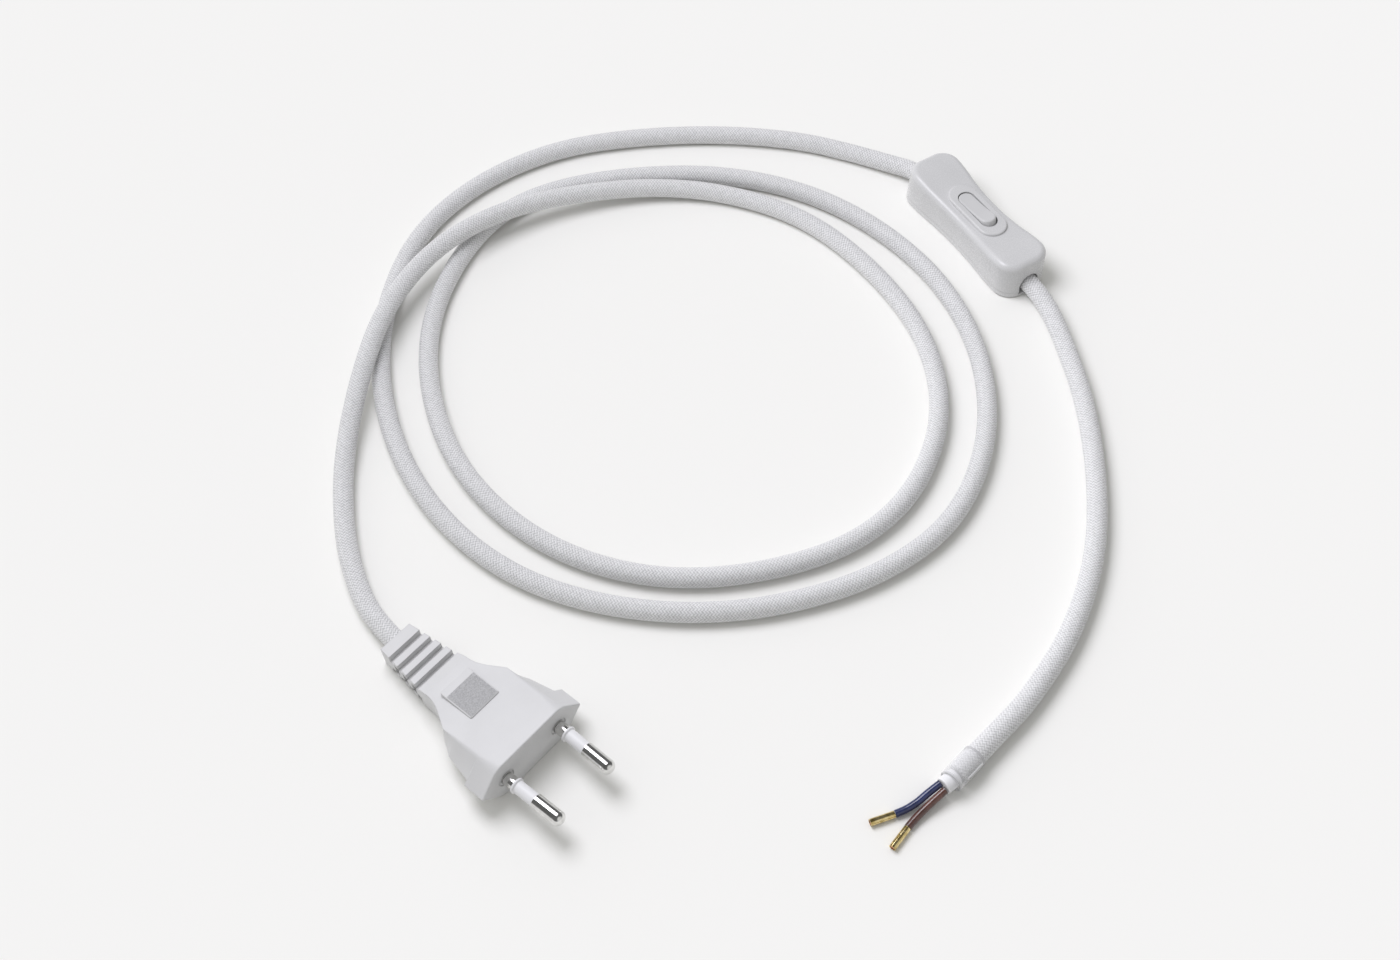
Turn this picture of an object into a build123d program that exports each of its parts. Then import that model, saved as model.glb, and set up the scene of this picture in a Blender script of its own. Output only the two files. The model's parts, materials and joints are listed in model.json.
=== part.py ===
from build123d import *
import math
import os

# Textile lamp lead: flat two-pin plug, braided cord, inline rocker switch and a bare end with two cores.
# Frame: origin at the middle of the switch's underside, +X along the switch towards the bare end, +Z up,
# floor at z = 0, millimetres.

os.makedirs("parts", exist_ok=True)

# Driving dimensions of the switch housing
SWITCH_LENGTH = 55.0
END_WIDTH = 17.4
WAIST_WIDTH = 15.2
SWITCH_HEIGHT = 13.0
SADDLE_DIP = 1.8
CORNER_RADIUS = 6.0
WAIST_RUN = 4.5
SADDLE_RUN = 6.5
TOP_ROUND = 2.0
END_LEAN = 0.7
WALL = 1.3
SPLIT_HEIGHT = 2.2
FLOOR = 1.2
BEZEL_LENGTH = 23.8
BEZEL_WIDTH = 9.6
BEZEL_TOP = 12.45
BEZEL_ROUND = 0.55
SLOT_WIDTH = 6.9
SLOT_TOP = 7.8

# Driving dimensions of the rocker mechanism
ROCKER_LENGTH = 15.2
ROCKER_WIDTH = 5.2
ROCKER_TILT = 6.0
ROCKER_RISE = 0.65
ROCKER_DISH = 0.45
PIVOT_X = 0.0
PIVOT_HEIGHT = 8.6
TRUNNION_DIAMETER = 2.4
PLUNGER_DIAMETER = 2.5
SEE_SAW_LENGTH = 14.0
SEE_SAW_WIDTH = 3.0
SEE_SAW_THICKNESS = 0.7
SEE_SAW_TILT = 6.0
FULCRUM_HEIGHT = 3.1
FULCRUM_RADIUS = 0.3

# Driving dimensions of the cord, the plug and the bare end
CORD_DIAMETER = 5.8
CORE_DIAMETER = 2.0
FERRULE_DIAMETER = 1.9
FERRULE_LENGTH = 6.6
PLUG_WIDTH = 35.3
PLUG_HEIGHT = 13.7
PLUG_TOP_WIDTH = 22.8
PLUG_FLANGE = 6.7
PLUG_TAPER = 4.0
PLUG_RIDGE = 30.6
RELIEF_START = 33.8
PLUG_LENGTH = 50.3
RELIEF_FRONT_WIDTH = 14.0
RELIEF_REAR_WIDTH = 10.2
RELIEF_HEIGHT = 6.6
PIN_DIAMETER = 4.0
PIN_LENGTH = 19.0
PIN_SPACING = 18.6
PIN_LEAN = 1.2
SLEEVE_DIAMETER = 3.6

# Clearances
SLIDE = 0.05
LOOSE = 0.25
TOUCH = 0.02
GAP = 0.1

CORD_RADIUS = CORD_DIAMETER / 2
HALF_LENGTH = SWITCH_LENGTH / 2
WAIST_REACH = HALF_LENGTH - CORNER_RADIUS - WAIST_RUN
SADDLE_REACH = HALF_LENGTH - SADDLE_RUN


def blend_radius(run, reach, dip):
    """Radius that blends a straight run into an arc of half-chord reach and rise dip."""
    half_turn = math.atan(dip / reach)
    return 0.85 * run / math.tan(half_turn)


def waisted_plan(inset, lean=0.0):
    """Plan outline of the switch, moved inwards by inset, with both ends shortened by lean."""
    half_length = SWITCH_LENGTH / 2 - inset - lean
    half_end = END_WIDTH / 2 - inset
    half_waist = WAIST_WIDTH / 2 - inset
    with BuildSketch() as flat:
        with BuildLine():
            Line((-half_length, -half_end), (-half_length, half_end))
            Line((-half_length, half_end), (-WAIST_REACH, half_end))
            ThreePointArc((-WAIST_REACH, half_end), (0, half_waist), (WAIST_REACH, half_end))
            Line((WAIST_REACH, half_end), (half_length, half_end))
            Line((half_length, half_end), (half_length, -half_end))
            Line((half_length, -half_end), (WAIST_REACH, -half_end))
            ThreePointArc((WAIST_REACH, -half_end), (0, -half_waist), (-WAIST_REACH, -half_end))
            Line((-WAIST_REACH, -half_end), (-half_length, -half_end))
        make_face()
        corners = [v for v in flat.vertices() if abs(v.X) > half_length - 0.1]
        fillet(corners, CORNER_RADIUS - inset)
        creases = [v for v in flat.vertices() if abs(abs(v.X) - WAIST_REACH) < 0.01]
        fillet(creases, blend_radius(WAIST_RUN, WAIST_REACH, half_end - half_waist))
    return flat.sketch


def saddle_side(inset):
    """Side outline of the switch with its dipped top, lowered by inset."""
    top = SWITCH_HEIGHT - inset
    reach = SADDLE_REACH
    half_length = SWITCH_LENGTH / 2
    with BuildSketch(Plane.XZ) as side:
        with BuildLine():
            Line((-half_length, 0), (half_length, 0))
            Line((half_length, 0), (half_length, top))
            Line((half_length, top), (reach, top))
            ThreePointArc((reach, top), (0, top - SADDLE_DIP), (-reach, top))
            Line((-reach, top), (-half_length, top))
            Line((-half_length, top), (-half_length, 0))
        make_face()
        creases = [v for v in side.vertices() if abs(abs(v.X) - reach) < 0.01]
        fillet(creases, blend_radius(SADDLE_RUN, SADDLE_REACH, SADDLE_DIP) * 0.9)
    return side.sketch


PLAN_OUTER = waisted_plan(0)
PLAN_INNER = waisted_plan(WALL)
PLAN_LEAN = waisted_plan(0, END_LEAN)
PLAN_LEAN_INNER = waisted_plan(WALL, END_LEAN)
PLAN_LIP = waisted_plan(WALL + GAP)
PLAN_LIP_INNER = waisted_plan(WALL + GAP + 0.9)
SIDE_OUTER = saddle_side(0)
SIDE_INNER = saddle_side(WALL)

# Places inside the switch
SCREW_INSET = 4.6
SCREW_X = HALF_LENGTH - SCREW_INSET
SCREW_Y = 4.9
SCREW_REACH = 5.0
LIP_BREAK = 19.0
HOUSING_SCREWS = [(-SCREW_X, SCREW_Y), (SCREW_X, -SCREW_Y)]
HOUSING_SCREW_DIAMETER = 2.0
HOUSING_HEAD_DIAMETER = 3.6
BOSS_DIAMETER = 4.0
PAD_TOP = FLOOR + 1.8
CLAMP_INSET = 9.0
CLAMP_X = HALF_LENGTH - CLAMP_INSET
CLAMP_SCREW_Y = 5.3
CLAMP_SCREW_DIAMETER = 1.5
CLAMP_POST_DIAMETER = 3.2
CLAMP_WIDTH = 4.2
CLAMP_SPAN = 2 * CLAMP_SCREW_Y + 2.8
CORD_SEAT = 4.4
CLAMP_UNDER = CORD_SEAT + CORD_RADIUS + GAP
CLAMP_THICKNESS = 1.6
SEE_SAW_ROOM = 1.6
TAIL_ROOM = 3.4
TERMINAL_NEAR = SEE_SAW_LENGTH / 2 + SEE_SAW_ROOM
TERMINAL_FAR = CLAMP_X - CLAMP_WIDTH / 2 - TAIL_ROOM
TERMINAL_DEPTH = TERMINAL_FAR - TERMINAL_NEAR
TERMINAL_WIDTH = 4.4
TERMINAL_TOP = 6.0
PLATE_THICKNESS = 0.6
WIRE_LEVEL = 3.6
WIRE_BORE = 1.7
CONDUCTOR_DIAMETER = 1.1
TERMINAL_SCREW_DIAMETER = 2.0
NEUTRAL_Y = 4.75
NEUTRAL_WIDTH = 2.5
NEUTRAL_INSET = 5.0
NEUTRAL_LENGTH = 2 * (TERMINAL_FAR - NEUTRAL_INSET)
NEUTRAL_TOP = 5.2
NEUTRAL_LEVEL = 3.4
NEUTRAL_SCREW_INSET = 3.0
NEUTRAL_SCREW_X = NEUTRAL_LENGTH / 2 - NEUTRAL_SCREW_INSET
EAR_INNER = ROCKER_WIDTH / 2 + 0.4
EAR_THICKNESS = 1.6
EAR_HALF = 2.6
ROCKER_TOP = BEZEL_TOP + ROCKER_RISE - PIVOT_HEIGHT
ROCKER_REACH = math.hypot(ROCKER_LENGTH / 2, ROCKER_TOP)
OPENING_REACH = ROCKER_REACH + LOOSE + GAP
OPENING_LIFT = BEZEL_TOP - PIVOT_HEIGHT + 0.4
OPENING_WIDTH = ROCKER_WIDTH + 2 * LOOSE

LEAN_HEIGHT = SWITCH_HEIGHT + SPLIT_HEIGHT

# Switch cover: waisted and saddle-shaped shell, its ends lean in a little
with BuildPart() as switch_cover:
    with BuildSketch(Plane.XY.offset(SPLIT_HEIGHT)):
        add(PLAN_OUTER)
    with BuildSketch(Plane.XY.offset(LEAN_HEIGHT)):
        add(PLAN_LEAN)
    loft(ruled=True)
    extrude(SIDE_OUTER, amount=END_WIDTH, both=True, mode=Mode.INTERSECT)
    rim = []
    for edge in switch_cover.edges():
        box = edge.bounding_box()
        across = abs(edge.tangent_at(0.5).Y) > 0.99 and abs(edge.center().X) < HALF_LENGTH - END_LEAN - 0.3
        if box.min.Z > SPLIT_HEIGHT + 4 and not (across and edge.geom_type == GeomType.LINE):
            rim.append(edge)
    fillet(rim, TOP_ROUND)
    # Raised bezel round the rocker
    with BuildSketch(Plane.XY.offset(SWITCH_HEIGHT - SADDLE_DIP - 0.5)):
        with Locations((PIVOT_X, 0)):
            SlotOverall(BEZEL_LENGTH, BEZEL_WIDTH)
    extrude(amount=BEZEL_TOP - (SWITCH_HEIGHT - SADDLE_DIP - 0.5))
    bezel = [f for f in switch_cover.faces().filter_by(Plane.XY) if abs(f.center().Z - BEZEL_TOP) < 0.01]
    fillet(bezel[0].outer_wire().edges(), BEZEL_ROUND)
    # Hollow inside
    with BuildSketch(Plane.XY.offset(SPLIT_HEIGHT), mode=Mode.PRIVATE) as hollow_foot:
        add(PLAN_INNER)
    with BuildSketch(Plane.XY.offset(LEAN_HEIGHT), mode=Mode.PRIVATE) as hollow_head:
        add(PLAN_LEAN_INNER)
    hollow = loft([hollow_foot.sketch.face(), hollow_head.sketch.face()], ruled=True, mode=Mode.PRIVATE)
    roof = extrude(SIDE_INNER, amount=END_WIDTH, both=True, mode=Mode.PRIVATE)
    add(hollow & roof, mode=Mode.SUBTRACT)
    # Ears that carry the rocker, open below so that the trunnions snap in
    for side in (-1, 1):
        with BuildSketch(Plane.XZ.offset(-side * EAR_INNER)):
            with Locations((PIVOT_X, (PIVOT_HEIGHT + SWITCH_HEIGHT - SADDLE_DIP) / 2 - 1.0)):
                Rectangle(2 * EAR_HALF, SWITCH_HEIGHT - SADDLE_DIP - PIVOT_HEIGHT + 1.4)
        extrude(amount=-side * EAR_THICKNESS)
        with BuildSketch(Plane.XZ.offset(-side * (EAR_INNER - 0.2))):
            with Locations((PIVOT_X, PIVOT_HEIGHT)):
                Circle(TRUNNION_DIAMETER / 2 + SLIDE)
            with Locations((PIVOT_X, PIVOT_HEIGHT - 2.0)):
                Rectangle(TRUNNION_DIAMETER * 0.85, 4.0)
        extrude(amount=-side * (EAR_THICKNESS + 0.4), mode=Mode.SUBTRACT)
    # Opening for the rocker, narrower at the top because the rocker's ends swing on an arc
    for lift in (0, OPENING_LIFT):
        with BuildSketch(Plane.XY.offset(PIVOT_HEIGHT + lift)):
            with Locations((PIVOT_X, 0)):
                SlotOverall(2 * math.sqrt(OPENING_REACH ** 2 - lift ** 2), OPENING_WIDTH)
    loft(ruled=True, mode=Mode.SUBTRACT)
    # Screw bosses
    with BuildSketch(Plane.XY.offset(PAD_TOP + 0.3)):
        with Locations(*HOUSING_SCREWS):
            Circle(BOSS_DIAMETER / 2)
    extrude(amount=SWITCH_HEIGHT - WALL - PAD_TOP)
    with BuildSketch(Plane.XY.offset(PAD_TOP)):
        with Locations(*HOUSING_SCREWS):
            Circle(HOUSING_SCREW_DIAMETER / 2 + SLIDE)
    extrude(amount=6.0, mode=Mode.SUBTRACT)
    # Slots for the cord in both end walls
    with BuildSketch(Plane.YZ.offset(-HALF_LENGTH - 1)) as cord_slot:
        with Locations((0, SLOT_TOP / 2)):
            Rectangle(SLOT_WIDTH, SLOT_TOP)
        fillet(cord_slot.vertices().group_by(Axis.Z)[-1], SLOT_WIDTH / 2 - SLIDE)
    extrude(amount=WALL + 2, mode=Mode.SUBTRACT)
    extrude(cord_slot.sketch.moved(Location((SWITCH_LENGTH + 2 - WALL - 2, 0, 0))), amount=WALL + 2,
            mode=Mode.SUBTRACT)
switch_cover.part.label = "switch_cover"
export_step(switch_cover.part, "parts/switch_cover.step")

# Switch base: shallow tray with lip, pads, posts and terminal ribs
with BuildPart() as switch_base:
    with BuildSketch():
        add(PLAN_OUTER)
    extrude(amount=SPLIT_HEIGHT)
    chamfer(switch_base.edges().group_by(Axis.Z)[0], 0.5)
    chamfer(switch_base.edges().group_by(Axis.Z)[-1], 0.2)
    with BuildSketch(Plane.XY.offset(FLOOR)):
        add(PLAN_INNER)
    extrude(amount=SPLIT_HEIGHT, mode=Mode.SUBTRACT)
    # Locating lip at both ends
    with BuildSketch(Plane.XY.offset(FLOOR)):
        add(PLAN_LIP)
        add(PLAN_LIP_INNER, mode=Mode.SUBTRACT)
        Rectangle(LIP_BREAK, END_WIDTH, mode=Mode.SUBTRACT)
    extrude(amount=SPLIT_HEIGHT + 0.9 - FLOOR)
    # Screw pads and clamp posts
    with BuildSketch(Plane.XY.offset(FLOOR - 0.2)):
        with Locations(*HOUSING_SCREWS):
            Circle(BOSS_DIAMETER / 2 - 0.1)
    extrude(amount=PAD_TOP - FLOOR + 0.2)
    with BuildSketch(Plane.XY.offset(FLOOR - 0.2)):
        with GridLocations(2 * CLAMP_X, 2 * CLAMP_SCREW_Y, 2, 2):
            Circle(CLAMP_POST_DIAMETER / 2)
    extrude(amount=CLAMP_UNDER - 0.4 - FLOOR + 0.2)
    with BuildSketch(Plane.XY.offset(FLOOR + 0.6)):
        with GridLocations(2 * CLAMP_X, 2 * CLAMP_SCREW_Y, 2, 2):
            Circle(CLAMP_SCREW_DIAMETER / 2 + SLIDE)
    extrude(amount=SWITCH_HEIGHT, mode=Mode.SUBTRACT)
    # Ribs that hold the live terminals and the neutral connector
    with BuildSketch(Plane.XY.offset(FLOOR - 0.2)):
        with GridLocations(TERMINAL_NEAR + TERMINAL_FAR, TERMINAL_WIDTH + 0.8 + 2 * GAP, 2, 2):
            Rectangle(3.0, 0.8)
        with Locations((-NEUTRAL_LENGTH / 2 + 2, NEUTRAL_Y - NEUTRAL_WIDTH / 2 - 0.5),
                       (NEUTRAL_LENGTH / 2 - 2, NEUTRAL_Y - NEUTRAL_WIDTH / 2 - 0.5)):
            Rectangle(2.4, 0.8)
    extrude(amount=1.8)
    # Screw holes from below
    with BuildSketch(Plane.XY.offset(-1)):
        with Locations(*HOUSING_SCREWS):
            Circle(HOUSING_SCREW_DIAMETER / 2 + LOOSE / 2)
    extrude(amount=SWITCH_HEIGHT, mode=Mode.SUBTRACT)
    with BuildSketch(Plane.XY.offset(-1)):
        with Locations(*HOUSING_SCREWS):
            Circle(HOUSING_HEAD_DIAMETER / 2 + LOOSE / 2)
    extrude(amount=1 + FLOOR, mode=Mode.SUBTRACT)
    # Cord notches in both ends
    with BuildSketch(Plane.XY.offset(FLOOR + 0.05)):
        with Locations((-HALF_LENGTH, 0), (HALF_LENGTH, 0)):
            Rectangle(2 * (WALL + 1.4), SLOT_WIDTH)
    extrude(amount=SWITCH_HEIGHT, mode=Mode.SUBTRACT)
switch_base.part.label = "switch_base"
export_step(switch_base.part, "parts/switch_base.step")

# Plane of the rocker at rest: origin on its axis, the end towards the bare cord is up
TILT = math.radians(ROCKER_TILT)
ROCKER_ORIGIN = (PIVOT_X, 0, PIVOT_HEIGHT)
ROCKER_ALONG = (math.cos(TILT), 0, math.sin(TILT))
ROCKER_UP = (-math.sin(TILT), 0, math.cos(TILT))
ROCKER_PLANE = Plane(origin=ROCKER_ORIGIN, x_dir=ROCKER_ALONG, z_dir=ROCKER_UP)
ROCKER_SIDE = Plane(origin=ROCKER_ORIGIN, x_dir=ROCKER_ALONG, z_dir=(0, -1, 0))
ROCKER_NECK = ROCKER_TOP - 3.4
NECK_REACH = ROCKER_REACH - GAP
NECK_HALF = math.sqrt(NECK_REACH ** 2 - ROCKER_NECK ** 2)
END_SLOPE = (NECK_HALF - ROCKER_LENGTH / 2) / (ROCKER_TOP - ROCKER_NECK)
BLANK_HALF = ROCKER_LENGTH / 2 - ROCKER_DISH * END_SLOPE
DISH_RADIUS = (ROCKER_LENGTH ** 2 / 4 + ROCKER_DISH ** 2) / (2 * ROCKER_DISH)
RIM_ROUND = 0.5
BODY_HALF = 4.4
BODY_DROP = 2.4
BORE_TOP = ROCKER_TOP - 1.6
SEE_SAW_CLEAR = 0.15
PLUNGER_REACH = PIVOT_HEIGHT - (FULCRUM_HEIGHT + GAP + SEE_SAW_THICKNESS + SEE_SAW_CLEAR)
PLUNGER_TOP = -0.6

# Rocker: bar with a dished top, a hub, trunnions and a blind bore
with BuildPart() as rocker:
    with BuildSketch(ROCKER_PLANE.offset(ROCKER_NECK)):
        SlotOverall(2 * NECK_HALF, ROCKER_WIDTH)
    with BuildSketch(ROCKER_PLANE.offset(ROCKER_TOP + ROCKER_DISH)):
        SlotOverall(2 * BLANK_HALF, ROCKER_WIDTH)
    loft(ruled=True)
    with BuildSketch(ROCKER_SIDE):
        with Locations((0, ROCKER_TOP - ROCKER_DISH + DISH_RADIUS)):
            Circle(DISH_RADIUS)
    extrude(amount=ROCKER_WIDTH, both=True, mode=Mode.SUBTRACT)
    dish = rocker.faces().filter_by(GeomType.CYLINDER).sort_by(SortBy.AREA)[-1]
    fillet(dish.outer_wire().edges(), RIM_ROUND)
    with BuildSketch(ROCKER_PLANE.offset(-BODY_DROP)):
        Rectangle(2 * BODY_HALF, ROCKER_WIDTH)
    extrude(amount=ROCKER_NECK + BODY_DROP)
    with BuildSketch(ROCKER_SIDE):
        Circle(TRUNNION_DIAMETER / 2)
    extrude(amount=EAR_INNER + EAR_THICKNESS, both=True)
    with BuildSketch(ROCKER_PLANE.offset(-BODY_DROP - 0.5)):
        Circle(PLUNGER_DIAMETER / 2 + SLIDE)
    extrude(amount=BODY_DROP + 0.5 + BORE_TOP, mode=Mode.SUBTRACT)
rocker.part.label = "rocker"
export_step(rocker.part, "parts/rocker.step")

# Plunger with a round nose and a short spigot for the spring
NOSE = PLUNGER_DIAMETER / 2
with BuildPart() as rocker_plunger:
    with BuildSketch(ROCKER_SIDE):
        with BuildLine():
            Line((0, -PLUNGER_REACH), (0, PLUNGER_TOP + 1.0))
            Line((0, PLUNGER_TOP + 1.0), (0.5, PLUNGER_TOP + 1.0))
            Line((0.5, PLUNGER_TOP + 1.0), (0.5, PLUNGER_TOP))
            Line((0.5, PLUNGER_TOP), (NOSE, PLUNGER_TOP))
            Line((NOSE, PLUNGER_TOP), (NOSE, -PLUNGER_REACH + NOSE))
            JernArc((NOSE, -PLUNGER_REACH + NOSE), (0, -1), NOSE, -90)
        make_face()
    revolve(axis=Axis(ROCKER_ORIGIN, ROCKER_UP))
rocker_plunger.part.label = "rocker_plunger"
export_step(rocker_plunger.part, "parts/rocker_plunger.step")

# Compression spring between plunger and bore
SPRING_WIRE = 0.36
SPRING_RADIUS = 0.78
SPRING_LENGTH = BORE_TOP - PLUNGER_TOP - SPRING_WIRE - GAP
SPRING_FOOT = PLUNGER_TOP + SPRING_WIRE / 2 + GAP / 2
with BuildPart() as rocker_spring:
    with BuildLine() as coil:
        Helix(pitch=SPRING_LENGTH / 5, height=SPRING_LENGTH, radius=SPRING_RADIUS,
              center=ROCKER_PLANE.offset(SPRING_FOOT).origin, direction=ROCKER_UP)
    with BuildSketch(Plane(origin=coil.line @ 0, z_dir=coil.line % 0)):
        Circle(SPRING_WIRE / 2)
    sweep(path=coil.line, is_frenet=True)
rocker_spring.part.label = "rocker_spring"
export_step(rocker_spring.part, "parts/rocker_spring.step")

# Moving contact: see-saw bar on the fulcrum, its end towards the bare cord is down
TIP = math.radians(SEE_SAW_TILT)
FULCRUM = (PIVOT_X, 0, FULCRUM_HEIGHT)
SEE_SAW_PLANE = Plane(origin=FULCRUM, x_dir=(math.cos(TIP), 0, -math.sin(TIP)),
                      z_dir=(math.sin(TIP), 0, math.cos(TIP)))
CONTACT_REACH = SEE_SAW_LENGTH / 2 - 1.2
with BuildPart() as see_saw_contact:
    with BuildSketch(SEE_SAW_PLANE.offset(GAP)):
        Rectangle(SEE_SAW_LENGTH, SEE_SAW_WIDTH)
    extrude(amount=SEE_SAW_THICKNESS)
    with BuildSketch(SEE_SAW_PLANE.offset(GAP)):
        with Locations((CONTACT_REACH, 0)):
            Circle(1.0)
    extrude(amount=-0.25)
    with BuildSketch(Plane(origin=FULCRUM, z_dir=(0, -1, 0))):
        Circle(FULCRUM_RADIUS + SLIDE)
    extrude(amount=SEE_SAW_WIDTH, both=True, mode=Mode.SUBTRACT)
see_saw_contact.part.label = "see_saw_contact"
export_step(see_saw_contact.part, "parts/see_saw_contact.step")

PLATE_TOP = FLOOR + PLATE_THICKNESS
TERMINAL_X = (TERMINAL_NEAR + TERMINAL_FAR) / 2

# Live terminal on the plug side, with the fulcrum
with BuildPart() as live_terminal_in:
    with BuildSketch(Plane.XY.offset(FLOOR)):
        with Locations(((PIVOT_X + 1.2 - TERMINAL_FAR) / 2, 0)):
            Rectangle(PIVOT_X + 1.2 + TERMINAL_FAR, TERMINAL_WIDTH)
    extrude(amount=PLATE_THICKNESS)
    with BuildSketch(Plane.XZ):
        with BuildLine():
            Line((PIVOT_X - FULCRUM_RADIUS, FULCRUM_HEIGHT), (PIVOT_X - 2 * FULCRUM_RADIUS, PLATE_TOP))
            Line((PIVOT_X - 2 * FULCRUM_RADIUS, PLATE_TOP), (PIVOT_X + 2 * FULCRUM_RADIUS, PLATE_TOP))
            Line((PIVOT_X + 2 * FULCRUM_RADIUS, PLATE_TOP), (PIVOT_X + FULCRUM_RADIUS, FULCRUM_HEIGHT))
            ThreePointArc((PIVOT_X + FULCRUM_RADIUS, FULCRUM_HEIGHT), (PIVOT_X, FULCRUM_HEIGHT + FULCRUM_RADIUS),
                          (PIVOT_X - FULCRUM_RADIUS, FULCRUM_HEIGHT))
        make_face()
    extrude(amount=SEE_SAW_WIDTH / 2 - 0.1, both=True)
    with BuildSketch(Plane.XY.offset(PLATE_TOP)):
        with Locations((-TERMINAL_X, 0)):
            Rectangle(TERMINAL_DEPTH, TERMINAL_WIDTH)
    extrude(amount=TERMINAL_TOP - PLATE_TOP)
    with BuildSketch(Plane.YZ.offset(-TERMINAL_FAR - 1)):
        with Locations((0, WIRE_LEVEL)):
            Circle(WIRE_BORE / 2)
    extrude(amount=TERMINAL_DEPTH + 1, mode=Mode.SUBTRACT)
    with BuildSketch(Plane.XY.offset(WIRE_LEVEL)):
        with Locations((-TERMINAL_X, 0)):
            Circle(TERMINAL_SCREW_DIAMETER / 2 + SLIDE)
    extrude(amount=TERMINAL_TOP, mode=Mode.SUBTRACT)
live_terminal_in.part.label = "live_terminal_in"
export_step(live_terminal_in.part, "parts/live_terminal_in.step")

# Live terminal on the lamp side, with the fixed contact
with BuildPart() as live_terminal_out:
    with BuildSketch(Plane.XY.offset(FLOOR)):
        with Locations(((TERMINAL_FAR + CONTACT_REACH - 1.6) / 2, 0)):
            Rectangle(TERMINAL_FAR - CONTACT_REACH + 1.6, TERMINAL_WIDTH)
    extrude(amount=PLATE_THICKNESS)
    with BuildSketch(Plane.XY.offset(PLATE_TOP)):
        with Locations((PIVOT_X + CONTACT_REACH, 0)):
            Circle(1.1)
    extrude(amount=0.25)
    with BuildSketch(Plane.XY.offset(PLATE_TOP)):
        with Locations((TERMINAL_X, 0)):
            Rectangle(TERMINAL_DEPTH, TERMINAL_WIDTH)
    extrude(amount=TERMINAL_TOP - PLATE_TOP)
    with BuildSketch(Plane.YZ.offset(TERMINAL_NEAR)):
        with Locations((0, WIRE_LEVEL)):
            Circle(WIRE_BORE / 2)
    extrude(amount=TERMINAL_DEPTH + 1, mode=Mode.SUBTRACT)
    with BuildSketch(Plane.XY.offset(WIRE_LEVEL)):
        with Locations((TERMINAL_X, 0)):
            Circle(TERMINAL_SCREW_DIAMETER / 2 + SLIDE)
    extrude(amount=TERMINAL_TOP, mode=Mode.SUBTRACT)
live_terminal_out.part.label = "live_terminal_out"
export_step(live_terminal_out.part, "parts/live_terminal_out.step")

# Neutral connector
with BuildPart() as neutral_connector:
    with BuildSketch(Plane.XY.offset(FLOOR)):
        with Locations((0, NEUTRAL_Y)):
            Rectangle(NEUTRAL_LENGTH, NEUTRAL_WIDTH)
    extrude(amount=NEUTRAL_TOP - FLOOR)
    with BuildSketch(Plane.YZ.offset(-NEUTRAL_LENGTH / 2 - 1)):
        with Locations((NEUTRAL_Y, NEUTRAL_LEVEL)):
            Circle(WIRE_BORE / 2)
    extrude(amount=NEUTRAL_LENGTH + 2, mode=Mode.SUBTRACT)
    with BuildSketch(Plane.XY.offset(NEUTRAL_LEVEL)):
        with Locations((-NEUTRAL_SCREW_X, NEUTRAL_Y), (NEUTRAL_SCREW_X, NEUTRAL_Y)):
            Circle(TERMINAL_SCREW_DIAMETER / 2 + SLIDE)
    extrude(amount=NEUTRAL_TOP, mode=Mode.SUBTRACT)
neutral_connector.part.label = "neutral_connector"
export_step(neutral_connector.part, "parts/neutral_connector.step")

# Terminal screws, slotted, their feet just above the conductors
LIVE_FOOT = WIRE_LEVEL + CONDUCTOR_DIAMETER / 2 + GAP
NEUTRAL_FOOT = NEUTRAL_LEVEL + CONDUCTOR_DIAMETER / 2 + GAP
LIVE_SCREW_TOP = TERMINAL_TOP + 0.5
NEUTRAL_SCREW_TOP = NEUTRAL_TOP + 0.5
with BuildPart() as terminal_screws:
    with BuildSketch(Plane.XY.offset(LIVE_FOOT)):
        with Locations((-TERMINAL_X, 0), (TERMINAL_X, 0)):
            Circle(TERMINAL_SCREW_DIAMETER / 2)
    extrude(amount=LIVE_SCREW_TOP - LIVE_FOOT)
    with BuildSketch(Plane.XY.offset(NEUTRAL_FOOT)):
        with Locations((-NEUTRAL_SCREW_X, NEUTRAL_Y), (NEUTRAL_SCREW_X, NEUTRAL_Y)):
            Circle(TERMINAL_SCREW_DIAMETER / 2)
    extrude(amount=NEUTRAL_SCREW_TOP - NEUTRAL_FOOT)
    with BuildSketch(Plane.XY.offset(LIVE_SCREW_TOP - 0.6)):
        with Locations((-TERMINAL_X, 0), (TERMINAL_X, 0)):
            Rectangle(0.4, TERMINAL_SCREW_DIAMETER + 1)
    extrude(amount=1.0, mode=Mode.SUBTRACT)
    with BuildSketch(Plane.XY.offset(NEUTRAL_SCREW_TOP - 0.6)):
        with Locations((-NEUTRAL_SCREW_X, NEUTRAL_Y), (NEUTRAL_SCREW_X, NEUTRAL_Y)):
            Rectangle(0.4, TERMINAL_SCREW_DIAMETER + 1)
    extrude(amount=1.0, mode=Mode.SUBTRACT)
terminal_screws.part.label = "terminal_screws"
export_step(terminal_screws.part, "parts/terminal_screws.step")


def clamp_bar(side):
    """Bar that presses the cord on the base, with two screw holes."""
    with BuildPart() as bar:
        with BuildSketch(Plane.XY.offset(CLAMP_UNDER)):
            with Locations((side * CLAMP_X, 0)):
                RectangleRounded(CLAMP_WIDTH, CLAMP_SPAN, 1.2)
            with Locations((side * CLAMP_X, -CLAMP_SCREW_Y), (side * CLAMP_X, CLAMP_SCREW_Y)):
                Circle(CLAMP_SCREW_DIAMETER / 2 + SLIDE, mode=Mode.SUBTRACT)
        extrude(amount=CLAMP_THICKNESS)
    return bar.part


# Cord clamps
cord_clamp_in = clamp_bar(-1)
cord_clamp_in.label = "cord_clamp_in"
export_step(cord_clamp_in, "parts/cord_clamp_in.step")
cord_clamp_out = clamp_bar(1)
cord_clamp_out.label = "cord_clamp_out"
export_step(cord_clamp_out, "parts/cord_clamp_out.step")

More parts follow.
